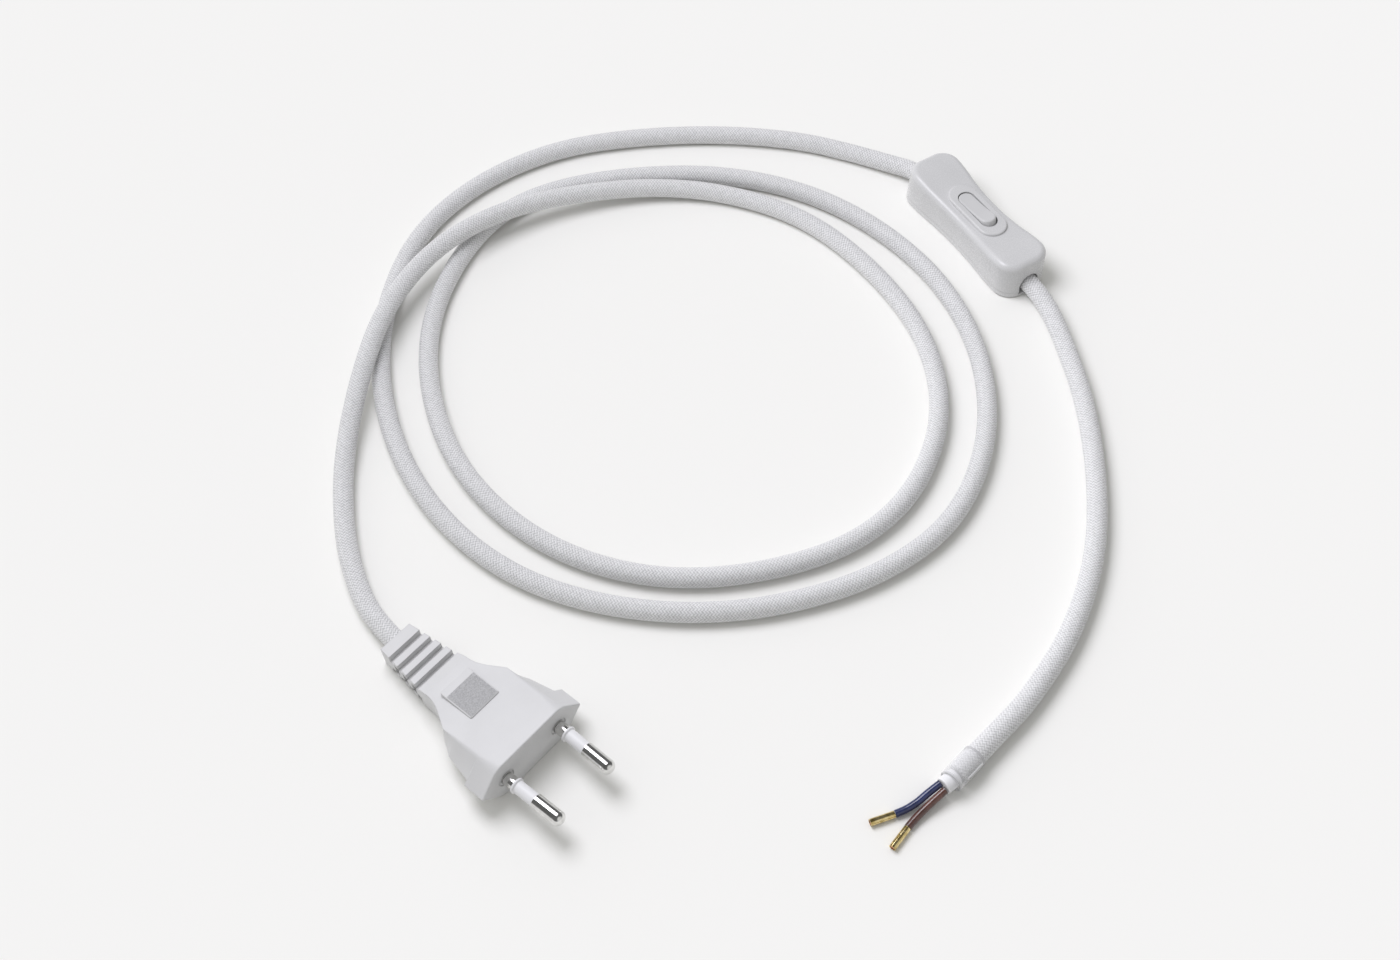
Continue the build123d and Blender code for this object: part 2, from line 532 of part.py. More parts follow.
# Clamp screws with slotted heads
CLAMP_TOP = CLAMP_UNDER + CLAMP_THICKNESS
with BuildPart() as clamp_screws:
    with BuildSketch(Plane.XY.offset(FLOOR + 1.0)):
        with GridLocations(2 * CLAMP_X, 2 * CLAMP_SCREW_Y, 2, 2):
            Circle(CLAMP_SCREW_DIAMETER / 2)
    extrude(amount=CLAMP_TOP - FLOOR - 1.0)
    with BuildSketch(Plane.XY.offset(CLAMP_TOP)):
        with GridLocations(2 * CLAMP_X, 2 * CLAMP_SCREW_Y, 2, 2):
            Circle(1.35)
    extrude(amount=0.9)
    with BuildSketch(Plane.XY.offset(CLAMP_TOP + 0.45)):
        with GridLocations(2 * CLAMP_X, 2 * CLAMP_SCREW_Y, 2, 2):
            Rectangle(3.4, 0.4)
    extrude(amount=1.0, mode=Mode.SUBTRACT)
clamp_screws.part.label = "clamp_screws"
export_step(clamp_screws.part, "parts/clamp_screws.step")

# Housing screws with cross-slotted heads
HEAD_UNDER = 0.2
with BuildPart() as housing_screws:
    with BuildSketch(Plane.XY.offset(HEAD_UNDER)):
        with Locations(*HOUSING_SCREWS):
            Circle(HOUSING_HEAD_DIAMETER / 2)
    extrude(amount=FLOOR - HEAD_UNDER - TOUCH)
    with BuildSketch(Plane.XY.offset(HEAD_UNDER + 0.5)):
        with Locations(*HOUSING_SCREWS):
            Circle(HOUSING_SCREW_DIAMETER / 2)
    extrude(amount=PAD_TOP + SCREW_REACH - HEAD_UNDER)
    with BuildSketch(Plane.XY.offset(HEAD_UNDER - 0.1)):
        with Locations(*HOUSING_SCREWS):
            Rectangle(2.2, 0.45)
            Rectangle(0.45, 2.2)
    extrude(amount=0.6, mode=Mode.SUBTRACT)
housing_screws.part.label = "housing_screws"
export_step(housing_screws.part, "parts/housing_screws.step")


def bend_radii(points):
    """Radius at each corner of a route: 0.45 of the shorter run, turned through the corner."""
    radii = []
    for before, here, after in zip(points, points[1:], points[2:]):
        first = Vector(*here) - Vector(*before)
        second = Vector(*after) - Vector(*here)
        half_turn = math.radians(first.get_angle(second)) / 2
        radii.append(0.45 * min(first.length, second.length) / math.tan(half_turn))
    return radii


CONDUCTOR_REACH = TERMINAL_DEPTH - 0.5


def core_tail(points, into):
    """Insulated core end with its bare conductor pushed along X into a terminal."""
    with BuildPart() as tail:
        with BuildLine() as path:
            FilletPolyline(*points, radius=bend_radii(points))
        with BuildSketch(Plane(origin=path.line @ 0, z_dir=path.line % 0)):
            Circle(CORE_DIAMETER / 2 - 0.05)
        sweep(path=path.line)
        end = points[-1]
        with BuildSketch(Plane(origin=(end[0] - 0.5 * into, end[1], end[2]), z_dir=(into, 0, 0))):
            Circle(CONDUCTOR_DIAMETER / 2)
        extrude(amount=CONDUCTOR_REACH)
    return tail.part


# Core ends inside the switch
CORD_STOP = CLAMP_X - CLAMP_WIDTH / 2 - 0.2
TAIL_X = CORD_STOP - 0.75
LIVE_END = TERMINAL_FAR + 0.4
NEUTRAL_END = NEUTRAL_LENGTH / 2 + 0.4
live_tail_in = core_tail([(-TAIL_X, -0.75, CORD_SEAT), (-TAIL_X + 1.3, -0.45, CORD_SEAT - 0.2),
                          (-LIVE_END, 0, WIRE_LEVEL)], 1)
live_tail_in.label = "live_tail_in"
export_step(live_tail_in, "parts/live_tail_in.step")
live_tail_out = core_tail([(TAIL_X, -0.55, CORD_SEAT), (TAIL_X - 1.3, -0.35, CORD_SEAT - 0.2),
                           (LIVE_END, 0, WIRE_LEVEL)], -1)
live_tail_out.label = "live_tail_out"
export_step(live_tail_out, "parts/live_tail_out.step")
neutral_tail_in = core_tail([(-TAIL_X, 1.5, CORD_SEAT), (-TAIL_X + 2.6, 3.9, CORD_SEAT),
                             (-NEUTRAL_END - 2.2, NEUTRAL_Y, CORD_SEAT - 0.6),
                             (-NEUTRAL_END, NEUTRAL_Y, NEUTRAL_LEVEL)], 1)
neutral_tail_in.label = "neutral_tail_in"
export_step(neutral_tail_in, "parts/neutral_tail_in.step")
neutral_tail_out = core_tail([(TAIL_X, 1.7, CORD_SEAT), (TAIL_X - 2.6, 3.9, CORD_SEAT),
                              (NEUTRAL_END + 2.2, NEUTRAL_Y, CORD_SEAT - 0.6),
                              (NEUTRAL_END, NEUTRAL_Y, NEUTRAL_LEVEL)], -1)
neutral_tail_out.label = "neutral_tail_out"
export_step(neutral_tail_out, "parts/neutral_tail_out.step")

# Place of the plug: it lies on its lower face, nose up by its taper
PLUG_YAW = math.radians(17.16)
PLUG_PITCH = math.radians(PLUG_TAPER)
PLUG_FACE = Vector(85.31, -204.64, PLUG_HEIGHT / 2 * math.cos(PLUG_PITCH) + 0.03)
FORWARD = Vector(math.cos(PLUG_YAW) * math.cos(PLUG_PITCH), math.sin(PLUG_YAW) * math.cos(PLUG_PITCH),
                 math.sin(PLUG_PITCH))
ACROSS = Vector(-math.sin(PLUG_YAW), math.cos(PLUG_YAW), 0)
UPWARD = FORWARD.cross(ACROSS)
SLOPE = math.tan(PLUG_PITCH)


def plug_point(along, across, up):
    """Point of the plug: along from its face towards the pins, across, up."""
    return PLUG_FACE + FORWARD * along + ACROSS * across + UPWARD * up


def plug_section(along):
    """Plane across the plug at a distance along from its face."""
    return Plane(origin=plug_point(along, 0, 0), x_dir=ACROSS, z_dir=FORWARD)


def plug_level(up):
    """Plane parallel to the plug's middle plane."""
    return Plane(origin=plug_point(0, 0, up), x_dir=FORWARD, z_dir=UPWARD)


PLUG_SIDE = Plane(origin=PLUG_FACE, x_dir=FORWARD, z_dir=ACROSS * -1)
HALF_PLUG = PLUG_HEIGHT / 2
HALF_TOP = PLUG_TOP_WIDTH / 2
HALF_TIP = PLUG_WIDTH / 2
TIP_ROUND = 0.4


def tip_section(along, tip, corner):
    """Hexagon of the plug at a distance behind its face: its tips at half-width tip, its other corners rounded."""
    half = HALF_PLUG - along * SLOPE
    with BuildSketch(plug_section(-along)) as hexagon:
        with BuildLine():
            Polyline((-HALF_TOP, half), (HALF_TOP, half), (tip, 0), (HALF_TOP, -half), (-HALF_TOP, -half),
                     (-tip, 0), (-HALF_TOP, half))
        make_face()
        rows = hexagon.vertices().group_by(Axis.Y)
        fillet(rows[0] + rows[-1], corner)
        fillet([v for v in hexagon.vertices() if abs(v.Y) < TOUCH], TIP_ROUND)
    return hexagon.sketch


RELIEF_HALF = RELIEF_HEIGHT / 2
RIDGE_HALF = HALF_PLUG - PLUG_RIDGE * SLOPE
RELIEF_PITCH = 3.7
RELIEF_SLOT = 1.75
RELIEF_SLOTS = [RELIEF_START + 0.95 + RELIEF_PITCH * i for i in range(4)]
NOTCHES = [RELIEF_START + 0.95 + RELIEF_PITCH * (i + 0.5) for i in range(3)]
GRIP_START = 19.4
GRIP_CURVE = [(0.268, 0.393), (0.554, 0.774)]
GRIP_REAR = RELIEF_FRONT_WIDTH / 2 + 0.2
FACET_STEP = 1.3
FACET_MIDDLE = 15.4
FACET_MIDDLE_HALF = HALF_TOP + 3.1
FACET_END_HALF = HALF_TOP + 0.8
FACE_CORNER = 5.0
FLANGE_CORNER = 1.6
FACET_CORNER = 0.8
PAD_REAR = 27.2
PAD_FRONT = 15.7
PAD_HALF = 5.0
PAD_RISE = 0.35
PAD_LEVEL = HALF_PLUG - PAD_FRONT * SLOPE + PAD_RISE
RIDGE_ROUND = 1.2
EDGE_ROUND = 0.4
PAD_ROUND = 0.25
PIN_ROOT = 7.0
RECESS_DEPTH = 0.3
RECESS_MARGIN = 0.5
PIN_ROOT_DIAMETER = 3.2
LEAN = math.radians(PIN_LEAN)


def grip_points():
    """Points of the grip's waist between the facets and the ridge, as shares of its run and its narrowing."""
    run = PLUG_RIDGE - GRIP_START
    narrowing = HALF_TOP - GRIP_REAR
    return [(-GRIP_START - run * share, HALF_TOP - narrowing * drop) for share, drop in GRIP_CURVE]


def plug_local(point):
    """Place of a point along, across and above the plug's axis."""
    offset = point - plug_point(0, 0, 0)
    return offset.dot(FORWARD), offset.dot(ACROSS), offset.dot(UPWARD)


def edges_where(shape, rule):
    """Edges of the plug with both ends at places that the rule accepts."""
    return [e for e in shape.edges() if rule(*plug_local(e @ 0)) and rule(*plug_local(e @ 1))]


def pin_axis(side):
    """Start and direction of a pin."""
    start = plug_point(0, side * PIN_SPACING / 2, 0)
    heading = FORWARD * math.cos(LEAN) - ACROSS * (side * math.sin(LEAN))
    return start, heading


# Plug body: hexagonal flange, tapered grip, pad and slotted strain relief in one moulding
with BuildPart() as plug_body:
    with BuildSketch(plug_level(0)):
        with BuildLine():
            Spline((-GRIP_START, HALF_TOP), *grip_points(), (-PLUG_RIDGE, GRIP_REAR))
            Line((-PLUG_RIDGE, GRIP_REAR), (-RELIEF_START, RELIEF_FRONT_WIDTH / 2))
            Line((-RELIEF_START, RELIEF_FRONT_WIDTH / 2), (-RELIEF_START, 0))
            Line((-RELIEF_START, 0), (-GRIP_START, 0))
            Line((-GRIP_START, 0), (-GRIP_START, HALF_TOP))
        make_face()
        mirror(about=Plane.XZ)
    extrude(amount=HALF_PLUG, both=True)
    with BuildSketch(PLUG_SIDE):
        with BuildLine():
            Polyline((0, HALF_PLUG), (-PLUG_RIDGE, RIDGE_HALF), (-RELIEF_START, RELIEF_HALF + 0.1),
                     (-RELIEF_START, -RELIEF_HALF - 0.1), (-PLUG_RIDGE, -RIDGE_HALF), (0, -HALF_PLUG),
                     (0, HALF_PLUG))
        make_face()
    extrude(amount=PLUG_WIDTH, both=True, mode=Mode.INTERSECT)
    # Flange and side facets
    loft([tip_section(0, HALF_TIP, FACE_CORNER).face(),
          tip_section(PLUG_FLANGE, HALF_TIP, FLANGE_CORNER).face()], ruled=True)
    loft([tip_section(PLUG_FLANGE - 0.2, HALF_TIP - FACET_STEP, FLANGE_CORNER).face(),
          tip_section(FACET_MIDDLE, FACET_MIDDLE_HALF, FACET_CORNER).face(),
          tip_section(GRIP_START, FACET_END_HALF, SLIDE).face()], ruled=True)
    # Strain relief
    with BuildSketch(plug_level(0)):
        with BuildLine():
            Polyline((-RELIEF_START + 1, -RELIEF_FRONT_WIDTH / 2), (-RELIEF_START + 1, RELIEF_FRONT_WIDTH / 2),
                     (-PLUG_LENGTH, RELIEF_REAR_WIDTH / 2), (-PLUG_LENGTH, -RELIEF_REAR_WIDTH / 2),
                     (-RELIEF_START + 1, -RELIEF_FRONT_WIDTH / 2))
        make_face()
    extrude(amount=RELIEF_HALF, both=True)
    # Slots from above and below, and staggered notches from the sides
    for side in (-1, 1):
        with BuildSketch(plug_level(side * (RELIEF_HALF + 2.0))):
            with Locations(*[(-x, 0) for x in RELIEF_SLOTS]):
                Rectangle(RELIEF_SLOT, PLUG_WIDTH)
        extrude(amount=-side * (2.0 + RELIEF_HALF - 1.5), mode=Mode.SUBTRACT)
        with BuildSketch(plug_level(0)):
            with Locations(*[(-x, side * (PLUG_WIDTH / 4 + 3.6)) for x in NOTCHES]):
                Rectangle(RELIEF_SLOT, PLUG_WIDTH / 2)
        extrude(amount=RELIEF_HALF - 1.5, both=True, mode=Mode.SUBTRACT)
    # Pad on the upper face
    with BuildSketch(plug_level(PAD_LEVEL)):
        with Locations((-(PAD_REAR + PAD_FRONT) / 2, 0)):
            RectangleRounded(PAD_REAR - PAD_FRONT, 2 * PAD_HALF, 0.5)
    extrude(amount=-(PAD_REAR - PAD_FRONT) * SLOPE - PAD_RISE - 0.5)
    # Rounded edges: rear ridges, front face, pad
    fillet(edges_where(plug_body, lambda x, y, z: math.isclose(x, -PLUG_RIDGE, abs_tol=0.01)
                       and math.isclose(abs(z), RIDGE_HALF, abs_tol=0.01)), RIDGE_ROUND)
    fillet(edges_where(plug_body, lambda x, y, z: math.isclose(x, 0, abs_tol=0.01)), EDGE_ROUND)
    fillet(edges_where(plug_body, lambda x, y, z: math.isclose(z, PAD_LEVEL, abs_tol=0.01)), PAD_ROUND)
    # Recess and bore for each pin
    for side in (-1, 1):
        start, heading = pin_axis(side)
        with BuildSketch(Plane(origin=start - heading * RECESS_DEPTH, x_dir=UPWARD, z_dir=heading)):
            Circle(PIN_DIAMETER / 2 + RECESS_MARGIN)
        extrude(amount=2.0, mode=Mode.SUBTRACT)
        with BuildSketch(Plane(origin=start - heading * (PIN_ROOT + TOUCH), x_dir=UPWARD, z_dir=heading)):
            Circle(PIN_ROOT_DIAMETER / 2 + TOUCH)
        extrude(amount=PIN_ROOT + 1.0, mode=Mode.SUBTRACT)
plug_body.part.label = "plug_body"
export_step(plug_body.part, "parts/plug_body.step")

COLLAR = 3.2
COLLAR_FOOT = RECESS_DEPTH - SLIDE
COLLAR_RADIUS = SLEEVE_DIAMETER / 2
SLEEVE_END = 10.0
PIN_NECK = 1.45


def pin_solid(side):
    """Metal pin: root, collar, neck under the sleeve and rounded tip."""
    start, heading = pin_axis(side)
    radius = PIN_DIAMETER / 2
    spin = Axis(start, heading)
    frame = Plane(origin=start, x_dir=heading, z_dir=heading.cross(UPWARD))
    with BuildPart() as pin:
        with BuildSketch(frame):
            with BuildLine():
                Line((-PIN_ROOT, 0), (-PIN_ROOT, PIN_ROOT_DIAMETER / 2))
                Line((-PIN_ROOT, PIN_ROOT_DIAMETER / 2), (-COLLAR_FOOT, PIN_ROOT_DIAMETER / 2))
                Line((-COLLAR_FOOT, PIN_ROOT_DIAMETER / 2), (-COLLAR_FOOT, COLLAR_RADIUS))
                Line((-COLLAR_FOOT, COLLAR_RADIUS), (COLLAR, COLLAR_RADIUS))
                Line((COLLAR, COLLAR_RADIUS), (COLLAR, PIN_NECK))
                Line((COLLAR, PIN_NECK), (SLEEVE_END, PIN_NECK))
                Line((SLEEVE_END, PIN_NECK), (SLEEVE_END, radius))
                Line((SLEEVE_END, radius), (PIN_LENGTH - 1.5, radius))
                ThreePointArc((PIN_LENGTH - 1.5, radius), (PIN_LENGTH - 0.42, radius - 0.5),
                              (PIN_LENGTH, radius - 1.3))
                Line((PIN_LENGTH, radius - 1.3), (PIN_LENGTH, 0))
                Line((PIN_LENGTH, 0), (-PIN_ROOT, 0))
            make_face()
        revolve(axis=spin)
    return pin.part


def sleeve_solid(side):
    """Insulating sleeve round the neck of a pin, with a thin rim at its foot."""
    start, heading = pin_axis(side)
    frame = Plane(origin=start, x_dir=heading, z_dir=heading.cross(UPWARD))
    inner = PIN_NECK + TOUCH
    outer = SLEEVE_DIAMETER / 2
    with BuildPart() as sleeve:
        with BuildSketch(frame):
            with BuildLine():
                Polyline((COLLAR + TOUCH, inner), (COLLAR + TOUCH, outer + 0.4), (COLLAR + 0.5, outer + 0.4),
                         (COLLAR + 0.75, outer), (SLEEVE_END - TOUCH, outer), (SLEEVE_END - TOUCH, inner),
                         (COLLAR + TOUCH, inner))
            make_face()
        revolve(axis=Axis(start, heading))
    return sleeve.part


# Pins and their sleeves
pin_near = pin_solid(-1)
pin_near.label = "pin_near"
export_step(pin_near, "parts/pin_near.step")
pin_far = pin_solid(1)
pin_far.label = "pin_far"
export_step(pin_far, "parts/pin_far.step")
sleeve_near = sleeve_solid(-1)
sleeve_near.label = "sleeve_near"
export_step(sleeve_near, "parts/sleeve_near.step")
sleeve_far = sleeve_solid(1)
sleeve_far.label = "sleeve_far"
export_step(sleeve_far, "parts/sleeve_far.step")

# Cord from the switch to the plug: two loose turns on the floor, the last part lies over the first two
FLAT = CORD_RADIUS
OVER = 3 * CORD_RADIUS + 0.6
PLUG_END = plug_point(-PLUG_LENGTH + 1.2, 0, 0)
PLUG_LEAD = [
    (-CORD_STOP, 0.1, CORD_SEAT), (-29.0, -0.1, 4.35), (-38.0, -5.6, 3.3), (-48.5, -12.6, FLAT),
    (-63.0, -24.5, FLAT), (-79.3, -45.2, FLAT), (-92.3, -68.6, FLAT), (-101.6, -93.8, FLAT),
    (-102.0, -121.5, FLAT), (-93.0, -148.0, FLAT), (-73.0, -169.5, FLAT), (-47.0, -185.0, FLAT),
    (-18.0, -192.7, FLAT), (9.5, -192.2, FLAT), (34.0, -184.5, FLAT), (54.0, -170.0, FLAT),
    (71.0, -149.3, FLAT), (82.3, -125.3, FLAT), (88.0, -98.0, FLAT), (84.8, -71.0, FLAT),
    (68.3, -46.6, FLAT), (43.5, -29.3, FLAT), (14.2, -21.4, FLAT), (-15.0, -23.9, FLAT),
    (-41.5, -34.6, FLAT), (-63.0, -53.7, FLAT), (-78.0, -78.8, FLAT), (-86.5, -104.0, FLAT),
    (-86.0, -124.0, FLAT), (-76.0, -143.5, FLAT), (-58.0, -162.5, FLAT), (-34.0, -175.0, FLAT),
    (-6.0, -180.3, FLAT), (21.0, -176.0, FLAT), (43.5, -164.2, FLAT), (61.0, -145.5, FLAT),
    (72.3, -120.0, FLAT), (76.0, -95.0, FLAT), (69.5, -72.0, FLAT), (52.0, -50.5, FLAT),
    (25.5, -38.0, FLAT), (-4.5, -36.3, FLAT), (-33.0, -42.0, FLAT), (-55.5, -57.5, FLAT),
    (-70.0, -78.0, 4.2), (-78.8, -104.0, 6.6), (-81.2, -127.0, OVER), (-78.0, -150.0, OVER),
    (-65.0, -172.5, OVER), (-46.5, -189.5, OVER - 0.6), (-25.0, -206.3, 3.4), (-2.0, -216.8, FLAT),
    (15.0, -220.9, FLAT), (28.0, -221.6, 3.1), (PLUG_END.X, PLUG_END.Y, PLUG_END.Z),
]

# Cord from the switch to the bare end
END_LEAD = [
    (CORD_STOP, 0.1, CORD_SEAT), (29.0, 0.4, 4.35), (38.5, -0.6, 3.4), (50.0, -4.5, FLAT), (70.5, -13.2, FLAT),
    (93.0, -27.3, FLAT), (114.0, -45.0, FLAT), (129.3, -66.0, FLAT), (138.8, -88.5, FLAT),
    (142.0, -102.3, 3.2), (145.6, -116.8, 3.3),
]


def cord_tube(name, points, radius):
    """Round cord along a route."""
    radii = bend_radii(points)
    with BuildPart() as tube:
        with BuildLine() as path:
            FilletPolyline(*points, radius=radii)
        with BuildSketch(Plane(origin=path.line @ 0, z_dir=path.line % 0)):
            Circle(radius)
        sweep(path=path.line)
    length = sum(edge.length for edge in path.line.edges())
    share = tube.part.volume / (math.pi * radius ** 2 * length)
    print(name, "length", round(length, 1), "volume share", round(share, 4))
    print("  radii", [round(r, 1) for r in radii])
    return tube.part


cord_plug_to_switch = cord_tube("plug lead", PLUG_LEAD, CORD_RADIUS)
cord_plug_to_switch.label = "cord_plug_to_switch"
export_step(cord_plug_to_switch, "parts/cord_plug_to_switch.step")
cord_switch_to_end = cord_tube("end lead", END_LEAD, CORD_RADIUS)
cord_switch_to_end.label = "cord_switch_to_end"
export_step(cord_switch_to_end, "parts/cord_switch_to_end.step")

# Bare end: clear band over the end of the braid, inner sheath, two cores and their ferrules
BRAID_END = Vector(*END_LEAD[-1])
END_HEADING = (BRAID_END - Vector(*END_LEAD[-2])).normalized()
BAND_REAR = 7.2
BAND_FRONT = 2.6
BAND_OUTER = CORD_RADIUS + 0.32
BAND_INNER = CORD_RADIUS + SLIDE
SHEATH_RADIUS = 2.3
with BuildPart() as end_band:
    with BuildSketch(Plane(origin=BRAID_END, x_dir=END_HEADING, z_dir=END_HEADING.cross(Vector(0, 0, 1)))):
        with BuildLine():
            Polyline((-BAND_REAR, BAND_INNER), (-BAND_REAR, BAND_OUTER), (0.2, BAND_OUTER),
                     (BAND_FRONT, SHEATH_RADIUS + 0.85), (BAND_FRONT, SHEATH_RADIUS + 0.6),
                     (0.1, BAND_INNER), (-BAND_REAR, BAND_INNER))
        make_face()
    revolve(axis=Axis(BRAID_END, END_HEADING))
end_band.part.label = "end_band"
export_step(end_band.part, "parts/end_band.step")

SHEATH_START = BRAID_END + END_HEADING * (GAP + 0.5)
SHEATH_END = Vector(146.25, -121.6, 3.2)
SHEATH_HEADING = (SHEATH_END - SHEATH_START).normalized()
with BuildPart() as end_sheath:
    with BuildSketch(Plane(origin=SHEATH_START, z_dir=SHEATH_HEADING)):
        Circle(SHEATH_RADIUS)
    extrude(amount=(SHEATH_END - SHEATH_START).length)
    fillet(end_sheath.faces().sort_by(Axis.Y)[0].edges(), 0.3)
end_sheath.part.label = "end_sheath"
export_step(end_sheath.part, "parts/end_sheath.step")

CORE_STEP = CORE_DIAMETER / 2 + SLIDE
CORE_LOW = CORE_DIAMETER / 2 + 0.03
BLUE_CORE = [
    (SHEATH_END.X - CORE_STEP, SHEATH_END.Y - 0.25, 3.1), (145.4, -125.5, 2.5), (145.85, -129.2, 1.8),
    (145.75, -132.5, 1.3), (145.2, -135.4, CORE_LOW),
]
BROWN_CORE = [
    (SHEATH_END.X + CORE_STEP, SHEATH_END.Y - 0.25, 3.1), (147.75, -125.4, 2.4), (148.35, -129.4, 1.6),
    (149.0, -132.4, 1.2), (149.7, -134.8, CORE_LOW),
]
BLUE_HEADING = Vector(-1.4, -6.45, 0).normalized()
BROWN_HEADING = Vector(2.1, -5.9, 0).normalized()
blue_core = cord_tube("blue core", BLUE_CORE, CORE_DIAMETER / 2)
blue_core.label = "blue_core"
export_step(blue_core, "parts/blue_core.step")
brown_core = cord_tube("brown core", BROWN_CORE, CORE_DIAMETER / 2)
brown_core.label = "brown_core"
export_step(brown_core, "parts/brown_core.step")


def ferrule(end, heading):
    """Crimped ferrule, open at its tip."""
    start = Vector(*end) + heading * 0.25
    with BuildPart() as sleeve:
        with BuildSketch(Plane(origin=start, z_dir=heading)):
            Circle(FERRULE_DIAMETER / 2)
        extrude(amount=FERRULE_LENGTH)
        with BuildSketch(Plane(origin=start + heading * (FERRULE_LENGTH - 0.5), z_dir=heading)):
            Circle(FERRULE_DIAMETER / 2 - 0.25)
        extrude(amount=1.0, mode=Mode.SUBTRACT)
    return sleeve.part


blue_ferrule = ferrule(BLUE_CORE[-1], BLUE_HEADING)
blue_ferrule.label = "blue_ferrule"
export_step(blue_ferrule, "parts/blue_ferrule.step")
brown_ferrule = ferrule(BROWN_CORE[-1], BROWN_HEADING)
brown_ferrule.label = "brown_ferrule"
export_step(brown_ferrule, "parts/brown_ferrule.step")
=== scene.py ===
# %% [markdown]
# # A braided lamp lead with an inline switch
# This lesson dresses a lamp lead: a flat plug, a white braided cord in two loose turns, a rocker switch,
# and a bare end with a blue and a brown core. The solids come from the packed frame, in metres, and stay
# where they are. Here each of them gets its finish, and the cords and the finest details get their own
# meshes.

# %% Load the frame
import json
import math

import bmesh
import bpy
from mathutils import Matrix, Vector


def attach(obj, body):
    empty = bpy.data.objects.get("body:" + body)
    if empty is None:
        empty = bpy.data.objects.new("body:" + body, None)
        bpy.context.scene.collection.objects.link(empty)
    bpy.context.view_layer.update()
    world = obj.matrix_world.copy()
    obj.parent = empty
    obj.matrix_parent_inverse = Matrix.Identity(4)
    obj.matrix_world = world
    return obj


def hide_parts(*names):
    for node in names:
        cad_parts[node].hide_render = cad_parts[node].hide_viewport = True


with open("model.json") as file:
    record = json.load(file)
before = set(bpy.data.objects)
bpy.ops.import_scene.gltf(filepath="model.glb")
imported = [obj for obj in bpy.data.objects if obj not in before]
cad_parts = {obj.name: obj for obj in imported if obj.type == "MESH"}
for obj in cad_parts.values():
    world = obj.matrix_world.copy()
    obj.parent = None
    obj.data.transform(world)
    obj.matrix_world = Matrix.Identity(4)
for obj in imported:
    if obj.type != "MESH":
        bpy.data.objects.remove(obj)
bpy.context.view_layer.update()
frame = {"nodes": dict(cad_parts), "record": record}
nodes = frame["nodes"]
scene = bpy.context.scene
scene.view_settings.view_transform = "Standard"
MM = 0.001
print("solids in the frame:", len(nodes))

# %% [markdown]
# ## Camera
# The picture looks down on the lead from about 56 degrees. The plug is made to one standard size, so the
# camera's place and lens could be worked out from it, and they are set here as numbers. A lens measured
# in pixels of the picture becomes one in millimetres by the width of the sensor.

# %% Camera
IMAGE_WIDTH = 1400
FOCAL_PIXELS = 1606.6
SENSOR_WIDTH = 36.0
NEAREST_SEEN = 0.01
CAMERA_PLACE = Vector((0.25249, -0.25970, 0.37771))
CAMERA_AIM = Vector((0.03357, -0.12291, 0.0))
camera_data = bpy.data.cameras.new("photo_camera")
camera_data.sensor_fit = "HORIZONTAL"
camera_data.sensor_width = SENSOR_WIDTH
camera_data.lens = SENSOR_WIDTH * FOCAL_PIXELS / IMAGE_WIDTH
camera_data.clip_start = NEAREST_SEEN
camera = bpy.data.objects.new("photo_camera", camera_data)
scene.collection.objects.link(camera)
camera.location = CAMERA_PLACE
camera.rotation_euler = (CAMERA_AIM - CAMERA_PLACE).to_track_quat("-Z", "Y").to_euler()
scene.camera = camera
print("lens", round(camera_data.lens, 2), "mm")

# %% [markdown]
# ## Shader sums
# Procedural finishes are sums and products of patterns. Nodes could be made and linked one by one, but
# that hides the sum. So one small class wraps a socket, and sums of sockets read as ordinary Python: each
# operator adds a Math node, and `node` adds any other node.


# %% Socket class
class Value:
    """A shader socket that can be used in Python sums."""

    def __init__(self, tree, socket):
        self.tree = tree
        self.socket = socket

    def fill(self, made, sockets):
        """Sets a node's sockets, or links them to Values. i0 is the first, and _ stands for a space."""
        for name, value in sockets.items():
            numbered = name[0] == "i" and name[1:].isdigit()
            target = made.inputs[int(name[1:]) if numbered else name.replace("_", " ")]
            if isinstance(value, Value):
                self.tree.links.new(value.socket, target)
            else:
                target.default_value = value

    def node(self, kind, settings=None, **sockets):
        """Adds a node: its type, its settings, then the values or links of its sockets."""
        made = self.tree.nodes.new(kind)
        for name, value in (settings or {}).items():
            setattr(made, name, value)
        self.fill(made, sockets)
        return made

    def out(self, made, name=0):
        """An output of a node, as a Value."""
        return Value(self.tree, made.outputs[name])

    def maths(self, operation, *terms):
        """A Math node on one or two terms."""
        values = {f"i{i}": term for i, term in enumerate(terms)}
        return self.out(self.node("ShaderNodeMath", {"operation": operation}, **values))

    def __add__(self, other):
        return self.maths("ADD", self, other)

    def __radd__(self, other):
        return self.maths("ADD", other, self)

    def __sub__(self, other):
        return self.maths("SUBTRACT", self, other)

    def __rsub__(self, other):
        return self.maths("SUBTRACT", other, self)

    def __mul__(self, other):
        return self.maths("MULTIPLY", self, other)

    def __rmul__(self, other):
        return self.maths("MULTIPLY", other, self)

    def sine(self):
        return self.maths("SINE", self)

    def cosine(self):
        return self.maths("COSINE", self)

    def along(self, axis):
        """How far this place lies along an axis."""
        made = self.node("ShaderNodeVectorMath", {"operation": "DOT_PRODUCT"}, i0=self, i1=tuple(axis))
        return self.out(made, "Value")

    def step(self, low, high):
        """Smooth step from 0 below low to 1 above high."""
        made = self.node("ShaderNodeMapRange", {"interpolation_type": "SMOOTHSTEP"}, Value=self,
                         From_Min=low, From_Max=high)
        return self.out(made)

    def mix(self, low, high):
        """Colour between low and high, with this value as the factor. Mix has its colours in 6 and 7."""
        made = self.node("ShaderNodeMix", {"data_type": "RGBA"}, i0=self, i6=low, i7=high)
        return self.out(made, 2)


print("a socket can", [name for name in vars(Value) if not name.startswith("_")])

